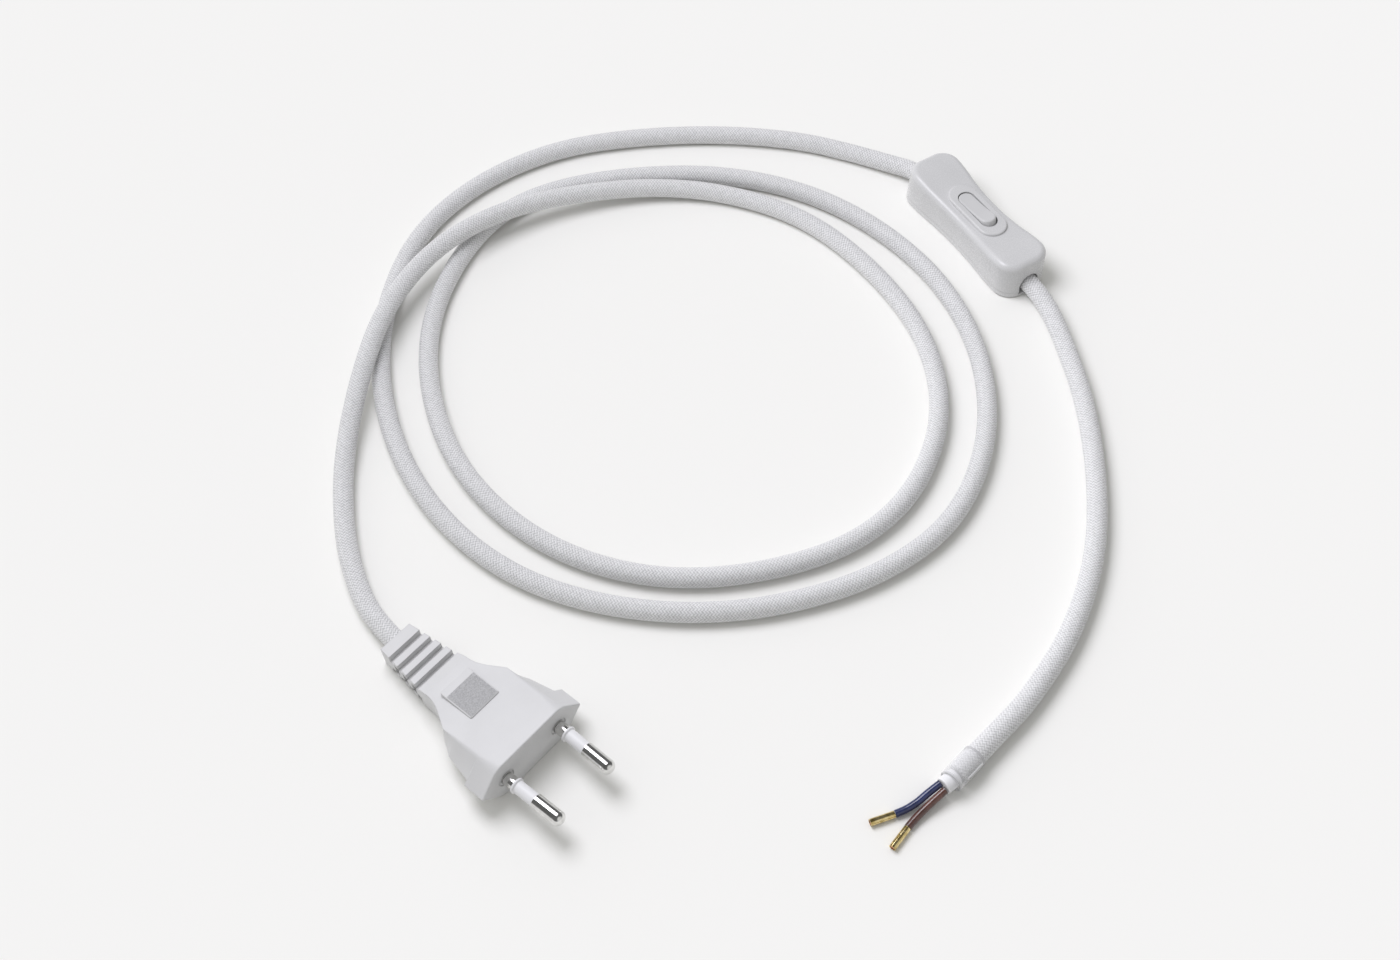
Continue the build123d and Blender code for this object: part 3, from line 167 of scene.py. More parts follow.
# %% [markdown]
# ## Helpers for finishes
# Every finish of the lead starts in the same way: a new material, soft noise on the piece's own
# coordinates and a relief. On Object coordinates a pattern has one scale on all pieces and needs no
# unwrapping. The relief can also round the edges in the shading, which saves cutting a tiny bevel into
# each solid.

# %% Finish helpers
EDGE_SAMPLES = 6


def finish(name):
    """A new material, its Principled shader, and a Value that makes nodes in it."""
    material = bpy.data.materials.new(name)
    material.use_nodes = True
    shader = next(n for n in material.node_tree.nodes if n.type == "BSDF_PRINCIPLED")
    return material, shader, Value(material.node_tree, shader.outputs[0])


def feed(maker, shader, **sockets):
    """Links values to the shader's sockets, or sets them where they are plain numbers or colours."""
    maker.fill(shader, sockets)


def place(maker, kind="Object"):
    """Where a point lies, in the coordinates of the kind named."""
    return maker.out(maker.node("ShaderNodeTexCoord"), kind)


def grain(maker, cells, detail=2.0):
    """Soft noise from 0 to 1 on the piece's own coordinates, with so many cells in a metre."""
    made = maker.node("ShaderNodeTexNoise", None, Vector=place(maker), Scale=cells, Detail=detail,
                      Roughness=0.5)
    return maker.out(made, "Fac")


def bump(maker, height, strength, distance, edge=None):
    """Relief from a height, on edges that look rounded by edge where that is given."""
    made = maker.node("ShaderNodeBump", None, Height=height, Strength=strength, Distance=distance)
    if edge:
        rounded = maker.node("ShaderNodeBevel", {"samples": EDGE_SAMPLES}, Radius=edge)
        maker.fill(made, {"Normal": maker.out(rounded, "Normal")})
    return maker.out(made, "Normal")


def grey(level, bluer=0.0):
    """A grey, with a little more blue where that is given."""
    return (level, level, level + bluer, 1.0)


def dress(material, *names):
    """Gives a material to the named solids."""
    for name in names:
        slots = nodes[name].data.materials
        slots.clear()
        slots.append(material)


print("helpers ready, a middle grey is", grey(0.5))

# %% [markdown]
# ## Floor
# The lead lies on a pale sheet of paper. One flat face is enough for it. It is shaped as a bmesh, a mesh
# that is free for editing, and a short helper writes that into an object at the origin. The pieces of the
# lead use the same helper further on.

# %% Floor
FLOOR_HALF = 6.0
PAPER = (0.905, 0.902, 0.868, 1.0)


def piece_from(shape, name, material):
    """Writes a bmesh into a new object at the origin, with its finish."""
    mesh = bpy.data.meshes.new(name)
    shape.to_mesh(mesh)
    shape.free()
    mesh.materials.append(material)
    piece = bpy.data.objects.new(name, mesh)
    scene.collection.objects.link(piece)
    return piece


paper, paper_shader, paper_maker = finish("pale_paper")
feed(paper_maker, paper_shader, Base_Color=PAPER, Roughness=0.9, Specular_IOR_Level=0.0)
shape = bmesh.new()
bmesh.ops.create_grid(shape, x_segments=1, y_segments=1, size=FLOOR_HALF)
floor = piece_from(shape, "floor", paper)
print("floor", [round(v, 2) for v in floor.dimensions])

# %% [markdown]
# ## Lamp
# One large soft lamp stands near the lead on the left. A sun would throw every shadow the same way, but
# in a small studio the shadows fan out from the foot of the lamp, so this is a wide point lamp close by.
# Its strength grows with the distance, so the sheet is as bright far from the lamp as under it.

# %% Lamp
LAMP_PLACE = Vector((-0.118, -0.196, 0.375))
LAMP_RADIUS = 0.13
LAMP_POWER = 53.5
LAMP_COLOUR = (0.985, 0.98, 1.055)
lamp_data = bpy.data.lights.new("soft_lamp", "POINT")
lamp_data.energy = LAMP_POWER
lamp_data.shadow_soft_size = LAMP_RADIUS
lamp_data.color = LAMP_COLOUR
lamp_data.use_nodes = True
lamp_shader = next(n for n in lamp_data.node_tree.nodes if n.type == "EMISSION")
lamp = Value(lamp_data.node_tree, lamp_shader.outputs[0])
even = lamp.out(lamp.node("ShaderNodeLightFalloff", None, Strength=1.0), "Constant")
reach = lamp.out(lamp.node("ShaderNodeLightPath"), "Ray Length")
feed(lamp, lamp_shader, Strength=even * reach)
lamp_object = bpy.data.objects.new("soft_lamp", lamp_data)
lamp_object.location = LAMP_PLACE
scene.collection.objects.link(lamp_object)
print("lamp", round(LAMP_PLACE.z / MM), "mm over the floor")

# %% [markdown]
# ## Sky
# The sky is dim on the right and bright on the left, as from a white screen there, so the sides that face
# left stay light. What metal mirrors is chosen apart from that: a dark ceiling, which draws the dark
# lines along the pins, a white card on the right, and a pale wall near the horizon, which the camera sees
# too.

# %% Sky
UP = Vector((0.0, 0.0, 1.0))
GLOW_SIDE = Vector((-0.84, -0.42, 0.34)).normalized()
GLOW_SPREAD = (0.0, 0.95)
CARD_SIDE = Vector((0.80, 0.22, 0.55)).normalized()
CARD_EDGE = (0.75, 0.92)
WALL_TOP = (0.10, 0.30)
SKY_DIM, SKY_GLOW = grey(0.38), grey(0.76)
CEILING, CARD, WALL = grey(0.14), grey(0.80), grey(0.88)
world = bpy.data.worlds.new("studio")
scene.world = world
world.use_nodes = True
world_shader = next(n for n in world.node_tree.nodes if n.type == "BACKGROUND")
sky = Value(world.node_tree, world_shader.outputs[0])
outward = place(sky, "Generated")
ray = sky.node("ShaderNodeLightPath")
mirrored = sky.out(ray, "Is Glossy Ray")
direct = sky.out(ray, "Is Camera Ray") + mirrored + sky.out(ray, "Is Transmission Ray")
dome = outward.along(GLOW_SIDE).step(*GLOW_SPREAD).mix(SKY_DIM, SKY_GLOW)
studio = outward.along(CARD_SIDE).step(*CARD_EDGE).mix(CEILING, CARD)
low = 1.0 - outward.along(UP).step(*WALL_TOP)
wall = (direct * low).step(0.0, 1.0)
feed(sky, world_shader, Color=wall.mix(mirrored.mix(dome, studio), WALL))
print("sky nodes", len(world.node_tree.nodes))

# %% [markdown]
# ## Braid
# The cord's cover is plaited from fine yarns that wind round it in both senses and pass over and under
# each other. Seen close, it is rows of short slanting floats that lean left and right by turns. The
# tube's UV map counts the crossings, round the cord and along it, so a cosine of their sum or difference
# is a row of floats, and a faster one draws the filaments in each float. The colour has painted shade in
# the hollows between floats and filaments and painted light on their crowns, as the relief has. Light
# goes a little way into white yarn and comes out again beside it, so the shaded side of the cord stays
# pale. A subsurface weight gives that.

# %% Braid pattern
CROSSINGS_ROUND = 24
CROSSING_GAP = 0.475 * MM
FILAMENTS = 4
LEAN = 0.3
braid, braid_shader, yarn = finish("white_braid")
count = yarn.node("ShaderNodeSeparateXYZ", None, Vector=place(yarn, "UV"))
around, onward = yarn.out(count, "X"), yarn.out(count, "Y")
leans_right = (around * math.pi).cosine().step(-LEAN, LEAN)
leans_left = 1.0 - leans_right
right, left = (onward - around) * math.pi, (onward + around) * math.pi
floats = right.cosine() * leans_right + left.cosine() * leans_left
filaments = (right * FILAMENTS).cosine() * leans_right + (left * FILAMENTS).cosine() * leans_left
print("crossings in a metre of cord", round(1.0 / CROSSING_GAP))

# %% Braid finish
SOFT_SPREAD = (0.25, 0.75)
YARN_CELLS = 900.0
FLOAT_RELIEF, FILAMENT_RELIEF, RELIEF_MIDDLE = 0.42, 0.08, 0.5
FLOAT_PAINTED_SHADE, FILAMENT_PAINTED_SHADE, MOTTLE_TONE, BASE_TONE = 0.44, 0.08, 0.30, 0.40
PLAIT_RELIEF = 0.14 * MM
GLOW_DEPTH = 2.5 * MM
# The darker yarn colour is the yarn's own dim mottle and also the painted shade in the hollows of the plait.
DIM_YARN_AND_PAINTED_SHADE, PALE_YARN_AND_PAINTED_LIGHT = grey(0.54), grey(0.88, 0.005)
relief = floats * FLOAT_RELIEF + filaments * FILAMENT_RELIEF + RELIEF_MIDDLE
mottle = grain(yarn, YARN_CELLS, detail=3.0).step(*SOFT_SPREAD)
# Painted shade and light: the float and filament terms darken the hollows and lighten the crowns; the mottle
# is the yarn's own uneven tone.
shade = floats * FLOAT_PAINTED_SHADE + filaments * FILAMENT_PAINTED_SHADE + mottle * MOTTLE_TONE + BASE_TONE
feed(yarn, braid_shader, Base_Color=shade.mix(DIM_YARN_AND_PAINTED_SHADE, PALE_YARN_AND_PAINTED_LIGHT), Roughness=0.8,
     Normal=bump(yarn, relief, strength=1.0, distance=PLAIT_RELIEF), Sheen_Weight=0.2, Sheen_Roughness=0.5,
     Specular_IOR_Level=0.2, Subsurface_Weight=0.55, Subsurface_Scale=GLOW_DEPTH,
     Subsurface_Radius=(1.0, 1.0, 1.0))
print("braid nodes", len(braid.node_tree.nodes))

# %% [markdown]
# ## Cord routes
# Each cord is one smooth spline on the route of its solid. The routes are points in millimetres, set
# along the cord in the picture. On the floor the cord's middle lies at FLAT, half its thickness. It
# starts in the switch at SEAT, and where it passes over the other turns it rises to OVER in a long low
# hump.

# %% Cord routes
FLAT = 2.9
OVER = 9.3
SEAT = 4.4
PLUG_ROUTE = [
    (-16.2, 0.1, SEAT), (-29.0, -0.1, 4.35), (-38.0, -5.6, 3.3), (-48.5, -12.6, FLAT), (-63.0, -24.5, FLAT),
    (-79.3, -45.2, FLAT), (-92.3, -68.6, FLAT), (-101.6, -93.8, FLAT), (-102.0, -121.5, FLAT),
    (-93.0, -148.0, FLAT), (-73.0, -169.5, FLAT), (-47.0, -185.0, FLAT), (-18.0, -192.7, FLAT),
    (9.5, -192.2, FLAT), (34.0, -184.5, FLAT), (54.0, -170.0, FLAT), (71.0, -149.3, FLAT),
    (82.3, -125.3, FLAT), (88.0, -98.0, FLAT), (84.8, -71.0, FLAT), (68.3, -46.6, FLAT), (43.5, -29.3, FLAT),
    (14.2, -21.4, FLAT), (-15.0, -23.9, FLAT), (-41.5, -34.6, FLAT), (-63.0, -53.7, FLAT),
    (-78.0, -78.8, FLAT), (-86.5, -104.0, FLAT), (-86.0, -124.0, FLAT), (-76.0, -143.5, FLAT),
    (-58.0, -162.5, FLAT), (-34.0, -175.0, FLAT), (-6.0, -180.3, FLAT), (21.0, -176.0, FLAT),
    (43.5, -164.2, FLAT), (61.0, -145.5, FLAT), (72.3, -120.0, FLAT), (76.0, -95.0, FLAT),
    (69.5, -72.0, FLAT), (52.0, -50.5, FLAT), (25.5, -38.0, FLAT), (-4.5, -36.3, FLAT), (-33.0, -42.0, FLAT),
    (-55.5, -57.5, FLAT), (-70.0, -78.0, 4.2), (-78.8, -104.0, 6.6), (-81.2, -127.0, OVER),
    (-78.0, -150.0, OVER), (-65.0, -172.5, OVER), (-46.5, -189.5, OVER - 0.6), (-25.0, -206.3, 3.4),
    (-2.0, -216.8, FLAT), (15.0, -220.9, FLAT), (28.0, -221.6, 3.1), (38.52, -219.09, 3.44),
]
END_ROUTE = [
    (16.2, 0.1, SEAT), (29.0, 0.4, 4.35), (38.5, -0.6, 3.4), (50.0, -4.5, FLAT), (70.5, -13.2, FLAT),
    (93.0, -27.3, FLAT), (114.0, -45.0, FLAT), (129.3, -66.0, FLAT), (138.8, -88.5, FLAT),
    (142.0, -102.3, 3.2), (145.6, -116.8, 3.3),
]
print("route points", len(PLUG_ROUTE), len(END_ROUTE))

# %% [markdown]
# ## Points of a spline
# The plait has to be as fine at one end of the cord as at the other, so its tube needs points at even
# gaps. Blender gives a bare curve as a mesh of many close points, and one of these is picked for each
# crossing. The order of the spline is set after its points, because set before, it stays at straight
# runs.

# %% Spline points
SPLINE_STEPS = 400


def spline_curve(name, route):
    """A bare NURBS curve on the route's points, in metres."""
    curve = bpy.data.curves.new(name, "CURVE")
    curve.dimensions = "3D"
    curve.resolution_u = SPLINE_STEPS
    spline = curve.splines.new("NURBS")
    spline.points.add(len(route) - 1)
    for point, spot in zip(spline.points, route):
        point.co = (spot[0] * MM, spot[1] * MM, spot[2] * MM, 1.0)
    spline.order_u = 3
    spline.use_endpoint_u = True
    holder = bpy.data.objects.new(name, curve)
    scene.collection.objects.link(holder)
    return holder


def spaced_points(holder, gap):
    """Points of a curve's own spline, picked about one gap apart, and its length."""
    bpy.context.view_layer.update()
    mesh = bpy.data.meshes.new_from_object(holder)
    spots = [v.co.copy() for v in mesh.vertices]
    bpy.data.meshes.remove(mesh)
    picked = [spots[0]]
    travelled = 0.0
    for before, here in zip(spots, spots[1:]):
        travelled += (here - before).length
        if travelled >= gap * len(picked):
            picked.append(here)
    return picked, travelled


print("steps between two route points", SPLINE_STEPS)

# %% [markdown]
# ## Plaited tube
# A curve's own round section would stretch the plait where the route's points are far apart. So a flat
# grid with one vertex for each crossing is wrapped round the picked points. Every other vertex is raised,
# which puts the plait into the outline of the cord as well as into its shading. The seam is merged and
# the ends are closed.

# %% Plaited tube
CORD_RADIUS = 2.9 * MM
PLAIT_HEIGHT = 0.06 * MM
PLAIT_RADIUS = CORD_RADIUS - PLAIT_HEIGHT
WELD = 0.001 * MM


def unit_grid(columns, rows):
    """A new bmesh with a flat grid round the origin, one unit long and wide."""
    shape = bmesh.new()
    bmesh.ops.create_grid(shape, x_segments=columns, y_segments=rows, size=0.5)
    return shape


def open_edges(shape):
    """The edges with a face on one side only."""
    return [e for e in shape.edges if e.is_boundary]


def wrap(cell, line):
    """Moves each vertex of a grid to its place round the line, by its step and its crossing."""
    last = len(line) - 1
    across = []
    for i in range(last + 1):
        heading = (line[min(i + 1, last)] - line[max(i - 1, 0)]).normalized()
        side = UP.cross(heading).normalized()
        across.append((side, heading.cross(side)))
    for v, (i, j) in cell.items():
        side, top = across[i]
        angle = 2 * math.pi * j / CROSSINGS_ROUND
        out = PLAIT_RADIUS + (PLAIT_HEIGHT if (i + j) % 2 == 0 else -PLAIT_HEIGHT)
        v.co = line[i] + side * (out * math.cos(angle)) + top * (out * math.sin(angle))


def plaited_tube(name, line):
    """A closed tube along the line, whose UV map counts the crossings."""
    steps = len(line) - 1
    shape = unit_grid(steps, CROSSINGS_ROUND)
    cell = {v: (round((v.co.x + 0.5) * steps), round((v.co.y + 0.5) * CROSSINGS_ROUND)) for v in shape.verts}
    layer = shape.loops.layers.uv.new("UVMap")
    for face in shape.faces:
        face.smooth = True
        for corner in face.loops:
            i, j = cell[corner.vert]
            corner[layer].uv = (j, i)
    wrap(cell, line)
    bmesh.ops.remove_doubles(shape, verts=shape.verts, dist=WELD)
    bmesh.ops.holes_fill(shape, edges=open_edges(shape), sides=0)
    bmesh.ops.recalc_face_normals(shape, faces=shape.faces)
    return piece_from(shape, name, braid)


print("plait stands", round(2 * PLAIT_HEIGHT / MM, 2), "mm high")

# %% [markdown]
# ## Cords
# The long cord goes from the switch to the plug, the short one from the switch to the bare end. Each
# stands for its plain solid in the frame and rides on the same body.


def braided_cord(name, route):
    """A cord on its route, the points that it follows, and its length."""
    holder = spline_curve(name + "_line", route)
    line, length = spaced_points(holder, CROSSING_GAP)
    bpy.data.objects.remove(holder)
    return plaited_tube(name, line), line, length


plug_cord, plug_line, plug_length = braided_cord("braided_cord_to_plug", PLUG_ROUTE)
end_cord, end_line, end_length = braided_cord("braided_cord_to_end", END_ROUTE)
for cord, node in ((plug_cord, "cord_plug_to_switch"), (end_cord, "cord_switch_to_end")):
    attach(cord, "lead")
    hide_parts(node)
print("cord lengths", round(plug_length, 3), round(end_length, 3), "faces", len(plug_cord.data.polygons))

# %% [markdown]
# ## Moulded plastics
# The plug is soft, slightly grainy plastic, and the switch is harder and a little glossier. Both get a
# faint mottle in colour, a fine mould grain as bump and an uneven gloss, all from noise at the right
# scale. A moulded edge is never quite sharp, so the relief also rounds the edges in the shading.

# %% Plastic finish
EDGE = 0.3 * MM
CLOUD_CELLS = 90.0


def moulded(name, low, high, gloss, cells, height):
    """Plastic between two colours. Its mould grain has so many cells in a metre, and a height."""
    material, shader, maker = finish(name)
    cloud = grain(maker, CLOUD_CELLS, detail=3.0).step(*SOFT_SPREAD)
    fine = grain(maker, cells)
    feed(maker, shader, Base_Color=cloud.mix(low, high), Roughness=gloss + 0.10 * fine,
         Normal=bump(maker, fine, strength=0.35, distance=height, edge=EDGE), Specular_IOR_Level=0.5)
    return material


switch_plastic = moulded("switch_plastic", grey(0.62), grey(0.65), 0.22, 2600.0, 0.05 * MM)
rocker_plastic = moulded("rocker_plastic", grey(0.60), grey(0.63), 0.20, 2600.0, 0.04 * MM)
plug_plastic = moulded("plug_plastic", grey(0.64), grey(0.675), 0.42, 1900.0, 0.08 * MM)
sleeve_plastic = moulded("sleeve_plastic", grey(0.80, 0.01), grey(0.84, 0.01), 0.38, 2600.0, 0.04 * MM)
sheath_plastic = moulded("sheath_plastic", grey(0.80, 0.01), grey(0.86, 0.01), 0.42, 2200.0, 0.05 * MM)
dress(switch_plastic, "switch_cover", "switch_base", "cord_clamp_in", "cord_clamp_out")
dress(rocker_plastic, "rocker", "rocker_plunger")
dress(sleeve_plastic, "sleeve_near", "sleeve_far")
dress(sheath_plastic, "end_sheath")
dress(plug_plastic, "plug_body")
print("plastics", [m.name for m in bpy.data.materials if m.name.endswith("_plastic")])

# %% [markdown]
# ## Plug axes
# The plug lies turned on the floor, so its details are made flat at the origin and then turned into its
# axes. These come from the two pins, which the frame's record knows: the pins point forward, the line
# between them points across, and the product of both axes points up, out of the pad.

# %% Plug axes
PIN_MIDDLE = 13.75 * MM
mounts = {m["name"]: m for m in frame["record"]["mounts"]}
near_pin, far_pin = mounts["plug_pin_near"], mounts["plug_pin_far"]
near_spot, far_spot = Vector(near_pin["pos_m"]), Vector(far_pin["pos_m"])
FORWARD = (Vector(near_pin["axis"]) + Vector(far_pin["axis"])).normalized()
ACROSS = (far_spot - near_spot).normalized()
plug_axes = Matrix((FORWARD, ACROSS, FORWARD.cross(ACROSS))).transposed().to_4x4()
plug_axes.translation = (near_spot + far_spot) / 2 - FORWARD * PIN_MIDDLE
print("middle of the plug's face", [round(v / MM, 2) for v in plug_axes.translation])

# %% [markdown]
# ## Thumb pad
# The raised pad on the plug has a fine pyramid texture, cut into the mould for grip, which looks grey
# because the little slopes shade each other. Bump alone would vanish at a low angle, so the texture is a
# mesh: a grid is poked, so that each cell becomes a pyramid, and its border is drawn down into the pad.
# Its colour is also painted darker than the plug's plastic, as painted shade of the slopes on each other.

# %% Pad finish
CLEAR_SPREAD = (0.3, 0.7)
PAD_CELLS = 2600.0
# The dark end of the speck is painted shade, darker than the plug's plastic, for the slopes that shade each
# other.
PAD_PAINTED_SHADE, PAD_PALE = grey(0.53, 0.005), grey(0.68, 0.005)
pad_plastic, pad_shader, pad_maker = finish("pad_plastic")
speck = grain(pad_maker, PAD_CELLS).step(*CLEAR_SPREAD)
feed(pad_maker, pad_shader, Base_Color=speck.mix(PAD_PAINTED_SHADE, PAD_PALE), Roughness=0.55 + 0.15 * speck,
     Specular_IOR_Level=0.25)
print("pad finish", pad_plastic.name)

# %% Pad texture
PAD_FRONT, PAD_REAR, PAD_HALF, PAD_LEVEL = -15.95 * MM, -24.9 * MM, 4.7 * MM, 6.10 * MM
PAD_COLUMNS, PAD_ROWS = 34, 36
PYRAMID, SKIRT, PROUD = 0.17 * MM, 0.12 * MM, 0.02 * MM


def close_below(shape, depth):
    """Draws the border of a sheet down by a depth and closes the sheet underneath."""
    drawn = bmesh.ops.extrude_edge_only(shape, edges=open_edges(shape))["geom"]
    border = [v for v in drawn if isinstance(v, bmesh.types.BMVert)]
    bmesh.ops.translate(shape, vec=(0.0, 0.0, -depth), verts=border)
    bmesh.ops.holes_fill(shape, edges=open_edges(shape), sides=0)


shape = unit_grid(PAD_COLUMNS, PAD_ROWS)
bmesh.ops.scale(shape, vec=(PAD_FRONT - PAD_REAR, 2 * PAD_HALF, 1.0), verts=shape.verts)
cells = list(shape.faces)
close_below(shape, SKIRT)
bmesh.ops.poke(shape, faces=cells, offset=PYRAMID)
on_pad = plug_axes @ Matrix.Translation(((PAD_FRONT + PAD_REAR) / 2, 0.0, PAD_LEVEL + PROUD))
bmesh.ops.transform(shape, matrix=on_pad, verts=shape.verts)
bmesh.ops.recalc_face_normals(shape, faces=shape.faces)
pad_texture = piece_from(shape, "pad_texture", pad_plastic)
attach(pad_texture, "lead")
print("pyramids", len(cells))

# %% [markdown]
# ## Metals
# The pins are turned and nickel-plated, so they carry faint rings round their length: a sine along the
# plug's forward axis. Ferrules and terminals are brass, the wires are copper, and screws and the spring
# are zinc-plated steel. Their colour clouds a little, as handled metal does, and the rest comes from what
# they mirror.

# %% Metal finishes
TARNISH_CELLS = 700.0
BRUSH_CELLS = 3000.0
RINGS = 9000.0
METAL_RELIEF = 0.02 * MM


def metal(name, low, high, gloss, ring_axis=None):
    """Metal between two colours, with turned rings along an axis where that is given."""
    material, shader, maker = finish(name)
    tarnish = grain(maker, TARNISH_CELLS, detail=3.0).step(*CLEAR_SPREAD)
    if ring_axis is None:
        fine = grain(maker, BRUSH_CELLS)
    else:
        fine = (place(maker).along(ring_axis) * RINGS).sine() * 0.5 + 0.5
    feed(maker, shader, Base_Color=tarnish.mix(low, high), Metallic=1.0, Roughness=gloss + 0.08 * fine,
         Normal=bump(maker, fine, strength=0.12, distance=METAL_RELIEF))
    return material


nickel = metal("nickel_plate", (0.64, 0.635, 0.62, 1.0), (0.78, 0.775, 0.76, 1.0), 0.10, FORWARD)
brass = metal("brass", (0.48, 0.36, 0.13, 1.0), (0.88, 0.73, 0.40, 1.0), 0.11)
copper = metal("copper", (0.52, 0.22, 0.12, 1.0), (0.80, 0.40, 0.25, 1.0), 0.22)
steel = metal("zinc_steel", grey(0.46, 0.01), grey(0.62, 0.01), 0.3)
dress(nickel, "pin_near", "pin_far")
dress(brass, "blue_ferrule", "brown_ferrule", "live_terminal_in", "live_terminal_out", "neutral_connector",
      "see_saw_contact")
dress(steel, "terminal_screws", "clamp_screws", "housing_screws", "rocker_spring")
print("metals", nickel.name, brass.name, copper.name, steel.name)

# %% [markdown]
# ## Copper strands
# Each ferrule is crimped on a bundle of fine copper wires, whose cut ends show in its mouth. A bump map
# couldn't show their depth, so seven short rods with rounded rims are set in the mouth, one in the middle
# and six round it, each cut a little shorter or longer than the next.

# %% Strands
STRANDS, STRAND_SIDES = 7, 14
STRAND_RADIUS, STRAND_RING, STRAND_ROOT = 0.2 * MM, 0.44 * MM, 0.495 * MM
SHORTEST, LONGER = 0.36 * MM, 0.03 * MM
TOP_LEVEL, TOP_ROUNDING = -0.2 * MM, 0.06 * MM


def strand_ends(name, mount):
    """Wire ends in the mouth of a ferrule, which is the far end of its mount."""
    axis = Vector(mount["axis"])
    mouth = axis.to_track_quat("Z", "Y").to_matrix().to_4x4()
    mouth.translation = Vector(mount["pos_m"]) + axis * (mount["dims"]["length_mm"] / 2 * MM)
    shape = bmesh.new()
    for i in range(STRANDS):
        out = STRAND_RING if i else 0.0
        angle = i * 2 * math.pi / (STRANDS - 1)
        tall = SHORTEST + LONGER * (i * 3 % 4)  # longer by 0, 3, 2 and 1 by turns
        spot = (out * math.cos(angle), out * math.sin(angle), tall / 2 - STRAND_ROOT)
        bmesh.ops.create_cone(shape, cap_ends=True, segments=STRAND_SIDES, radius1=STRAND_RADIUS,
                              radius2=STRAND_RADIUS, depth=tall, matrix=Matrix.Translation(spot))
    tops = [e for e in shape.edges if all(v.co.z > TOP_LEVEL for v in e.verts)]
    bmesh.ops.bevel(shape, geom=tops, offset=TOP_ROUNDING, offset_type="OFFSET", affect="EDGES", segments=2,
                    profile=0.5, material=-1)
    bmesh.ops.transform(shape, matrix=mouth, verts=shape.verts)
    piece = piece_from(shape, name, copper)
    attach(piece, "lead")


strand_ends("blue_strands", mounts["blue_ferrule_end"])
strand_ends("brown_strands", mounts["brown_ferrule_end"])

# %% [markdown]
# ## Cores
# The two cores are glossy extruded plastic, dark blue and brown. One soft noise makes the colour, the
# gloss and the relief uneven together, and a thin coat gives the smooth shine of fresh insulation.

# %% Core finishes
STREAK_CELLS = 420.0
STREAK_RELIEF = 0.08 * MM


def extruded(name, low, high):
    """Glossy plastic between two colours."""
    material, shader, maker = finish(name)
    streak = grain(maker, STREAK_CELLS, detail=3.0)
    feed(maker, shader, Base_Color=streak.step(*CLEAR_SPREAD).mix(low, high), Roughness=0.2 + 0.12 * streak,
         Normal=bump(maker, streak, strength=0.15, distance=STREAK_RELIEF), Coat_Weight=0.4,
         Coat_Roughness=0.12)
    return material


blue_plastic = extruded("blue_insulation", (0.010, 0.016, 0.065, 1.0), (0.022, 0.034, 0.12, 1.0))
brown_plastic = extruded("brown_insulation", (0.060, 0.022, 0.016, 1.0), (0.13, 0.050, 0.036, 1.0))
dress(blue_plastic, "blue_core", "neutral_tail_in", "neutral_tail_out")
dress(brown_plastic, "brown_core", "live_tail_in", "live_tail_out")
print("cores", blue_plastic.name, brown_plastic.name)

# %% [markdown]
# ## Clear band
# The end of the braid is held by a clear shrink sleeve, a thin film that lets the braid show through,
# catches bright streaks and looks denser at its rims. Glass would bend the light as a thick wall does, so
# the film is plain plastic with a low alpha, which rises near the rims and where the film is seen edge
# on. At the rims its colour is painted darker, as painted shade for the dark lines where the film bends
# the light.

# %% Clear band
HEADING = (Vector(END_ROUTE[-1]) - Vector(END_ROUTE[-2])).normalized()
BRAID_END = Vector(END_ROUTE[-1]) * MM
# Millimetres: how far the band reaches behind and before the braid's end, and its radius.
BAND_REAR, BAND_FRONT, BAND_RADIUS = 7.2, 2.6, 3.22
# Millimetres from the band's rear and front end: dense up to the first, clear from the second.
REAR_RIM, FRONT_RIM = (0.25, 0.55), (0.3, 0.7)
WRINKLE_CELLS = 420.0
WRINKLE_RELIEF = 0.3 * MM
RIM_DENSITY, EDGE_DENSITY, WRINKLE_DENSITY, BAND_DENSITY = 0.45, 0.25, 0.12, 0.14
# The rims are painted a darker grey, as painted shade for the dark lines that bent light draws at the film's
# ends.
CLEAR_FILM, RIM_PAINTED_SHADE = grey(0.90, 0.01), grey(0.62, 0.01)


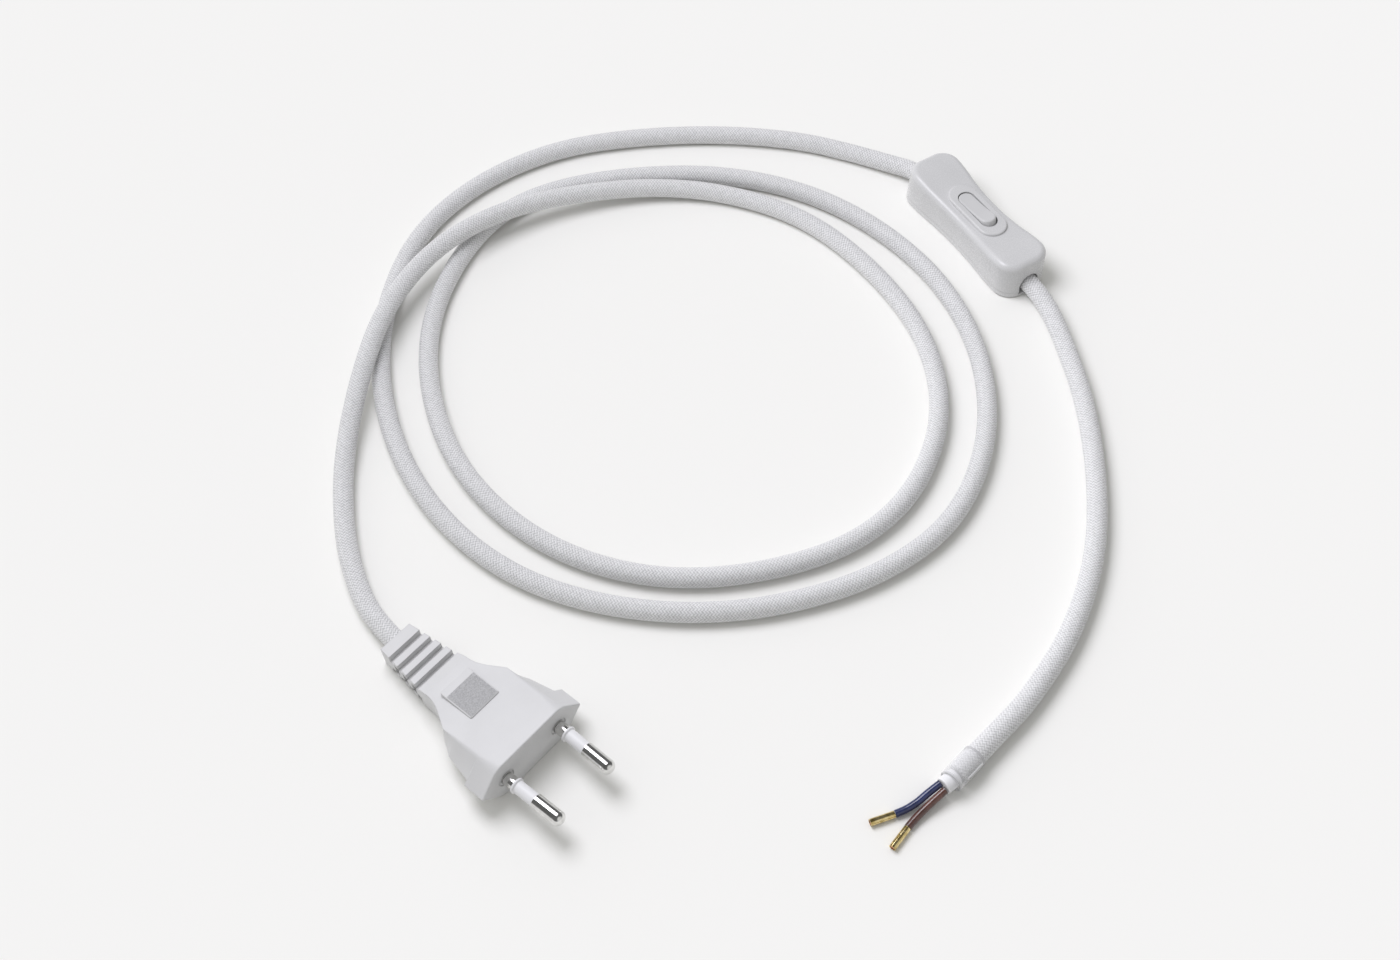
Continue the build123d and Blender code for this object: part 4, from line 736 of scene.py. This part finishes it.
def film(name, density):
    """Thin clear film, denser at its two rims and where it is seen edge on, with painted shade on its rims.
    """
    material, shader, maker = finish(name)
    wrinkle = grain(maker, WRINKLE_CELLS)
    run = (place(maker).along(HEADING) - BRAID_END.dot(HEADING)) * (1.0 / MM)
    rear = 1.0 - (run + BAND_REAR).step(*REAR_RIM)
    rims = rear + run.step(BAND_FRONT - FRONT_RIM[1], BAND_FRONT - FRONT_RIM[0])
    edge_on = maker.out(maker.node("ShaderNodeLayerWeight", None, Blend=0.3), "Facing")
    solid = rims * RIM_DENSITY + edge_on * EDGE_DENSITY + wrinkle * WRINKLE_DENSITY + density
    feed(maker, shader, Base_Color=rims.mix(CLEAR_FILM, RIM_PAINTED_SHADE), Roughness=0.06 + 0.10 * wrinkle,
         Alpha=solid, Normal=bump(maker, wrinkle, strength=0.3, distance=WRINKLE_RELIEF))
    return material


clear_band = film("clear_band", BAND_DENSITY)
dress(clear_band, "end_band")
print("band", round(BAND_REAR + BAND_FRONT, 1), "mm long")

# %% [markdown]
# ## Film fold
# The film is a flattened tube before it is shrunk, and one of its creases stays as a low fold along the
# side. It is a small grid, raised in the middle, blunt at its ends and a little wavy, that is closed
# below and laid on the band.

# %% Film fold
FOLD_LENGTH, FOLD_WIDTH, FOLD_HEIGHT = 6.0 * MM, 0.6 * MM, 0.16 * MM
FOLD_BACK, FOLD_SINK, FOLD_SKIRT = 3.4 * MM, 0.04 * MM, 0.1 * MM
FOLD_ANGLE = math.radians(66)
FOLD_COLUMNS, FOLD_ROWS = 24, 8
WAVE, WAVE_TURN = 0.08, 9.0
FOLD_DENSITY = 0.75
aside = UP.cross(HEADING).normalized()
crest = aside * math.sin(FOLD_ANGLE) + HEADING.cross(aside) * math.cos(FOLD_ANGLE)
fold_axes = Matrix((HEADING, crest.cross(HEADING), crest)).transposed().to_4x4()
fold_axes.translation = BRAID_END - HEADING * FOLD_BACK + crest * (BAND_RADIUS * MM - FOLD_SINK)
shape = unit_grid(FOLD_COLUMNS, FOLD_ROWS)
for v in shape.verts:
    v.co.z = FOLD_HEIGHT * (1.0 - (2 * v.co.y) ** 2) * (1.0 - (2 * v.co.x) ** 6)
    v.co.y += WAVE * math.sin(WAVE_TURN * v.co.x)
bmesh.ops.scale(shape, vec=(FOLD_LENGTH, FOLD_WIDTH, 1.0), verts=shape.verts)
close_below(shape, FOLD_SKIRT)
bmesh.ops.transform(shape, matrix=fold_axes, verts=shape.verts)
bmesh.ops.recalc_face_normals(shape, faces=shape.faces)
film_fold = piece_from(shape, "film_fold", film("film_fold", FOLD_DENSITY))
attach(film_fold, "lead")
print("fold faces", len(film_fold.data.polygons))

# The plug and the pieces of the bare end lie on the cords, so they are named with them.

# %% [markdown]
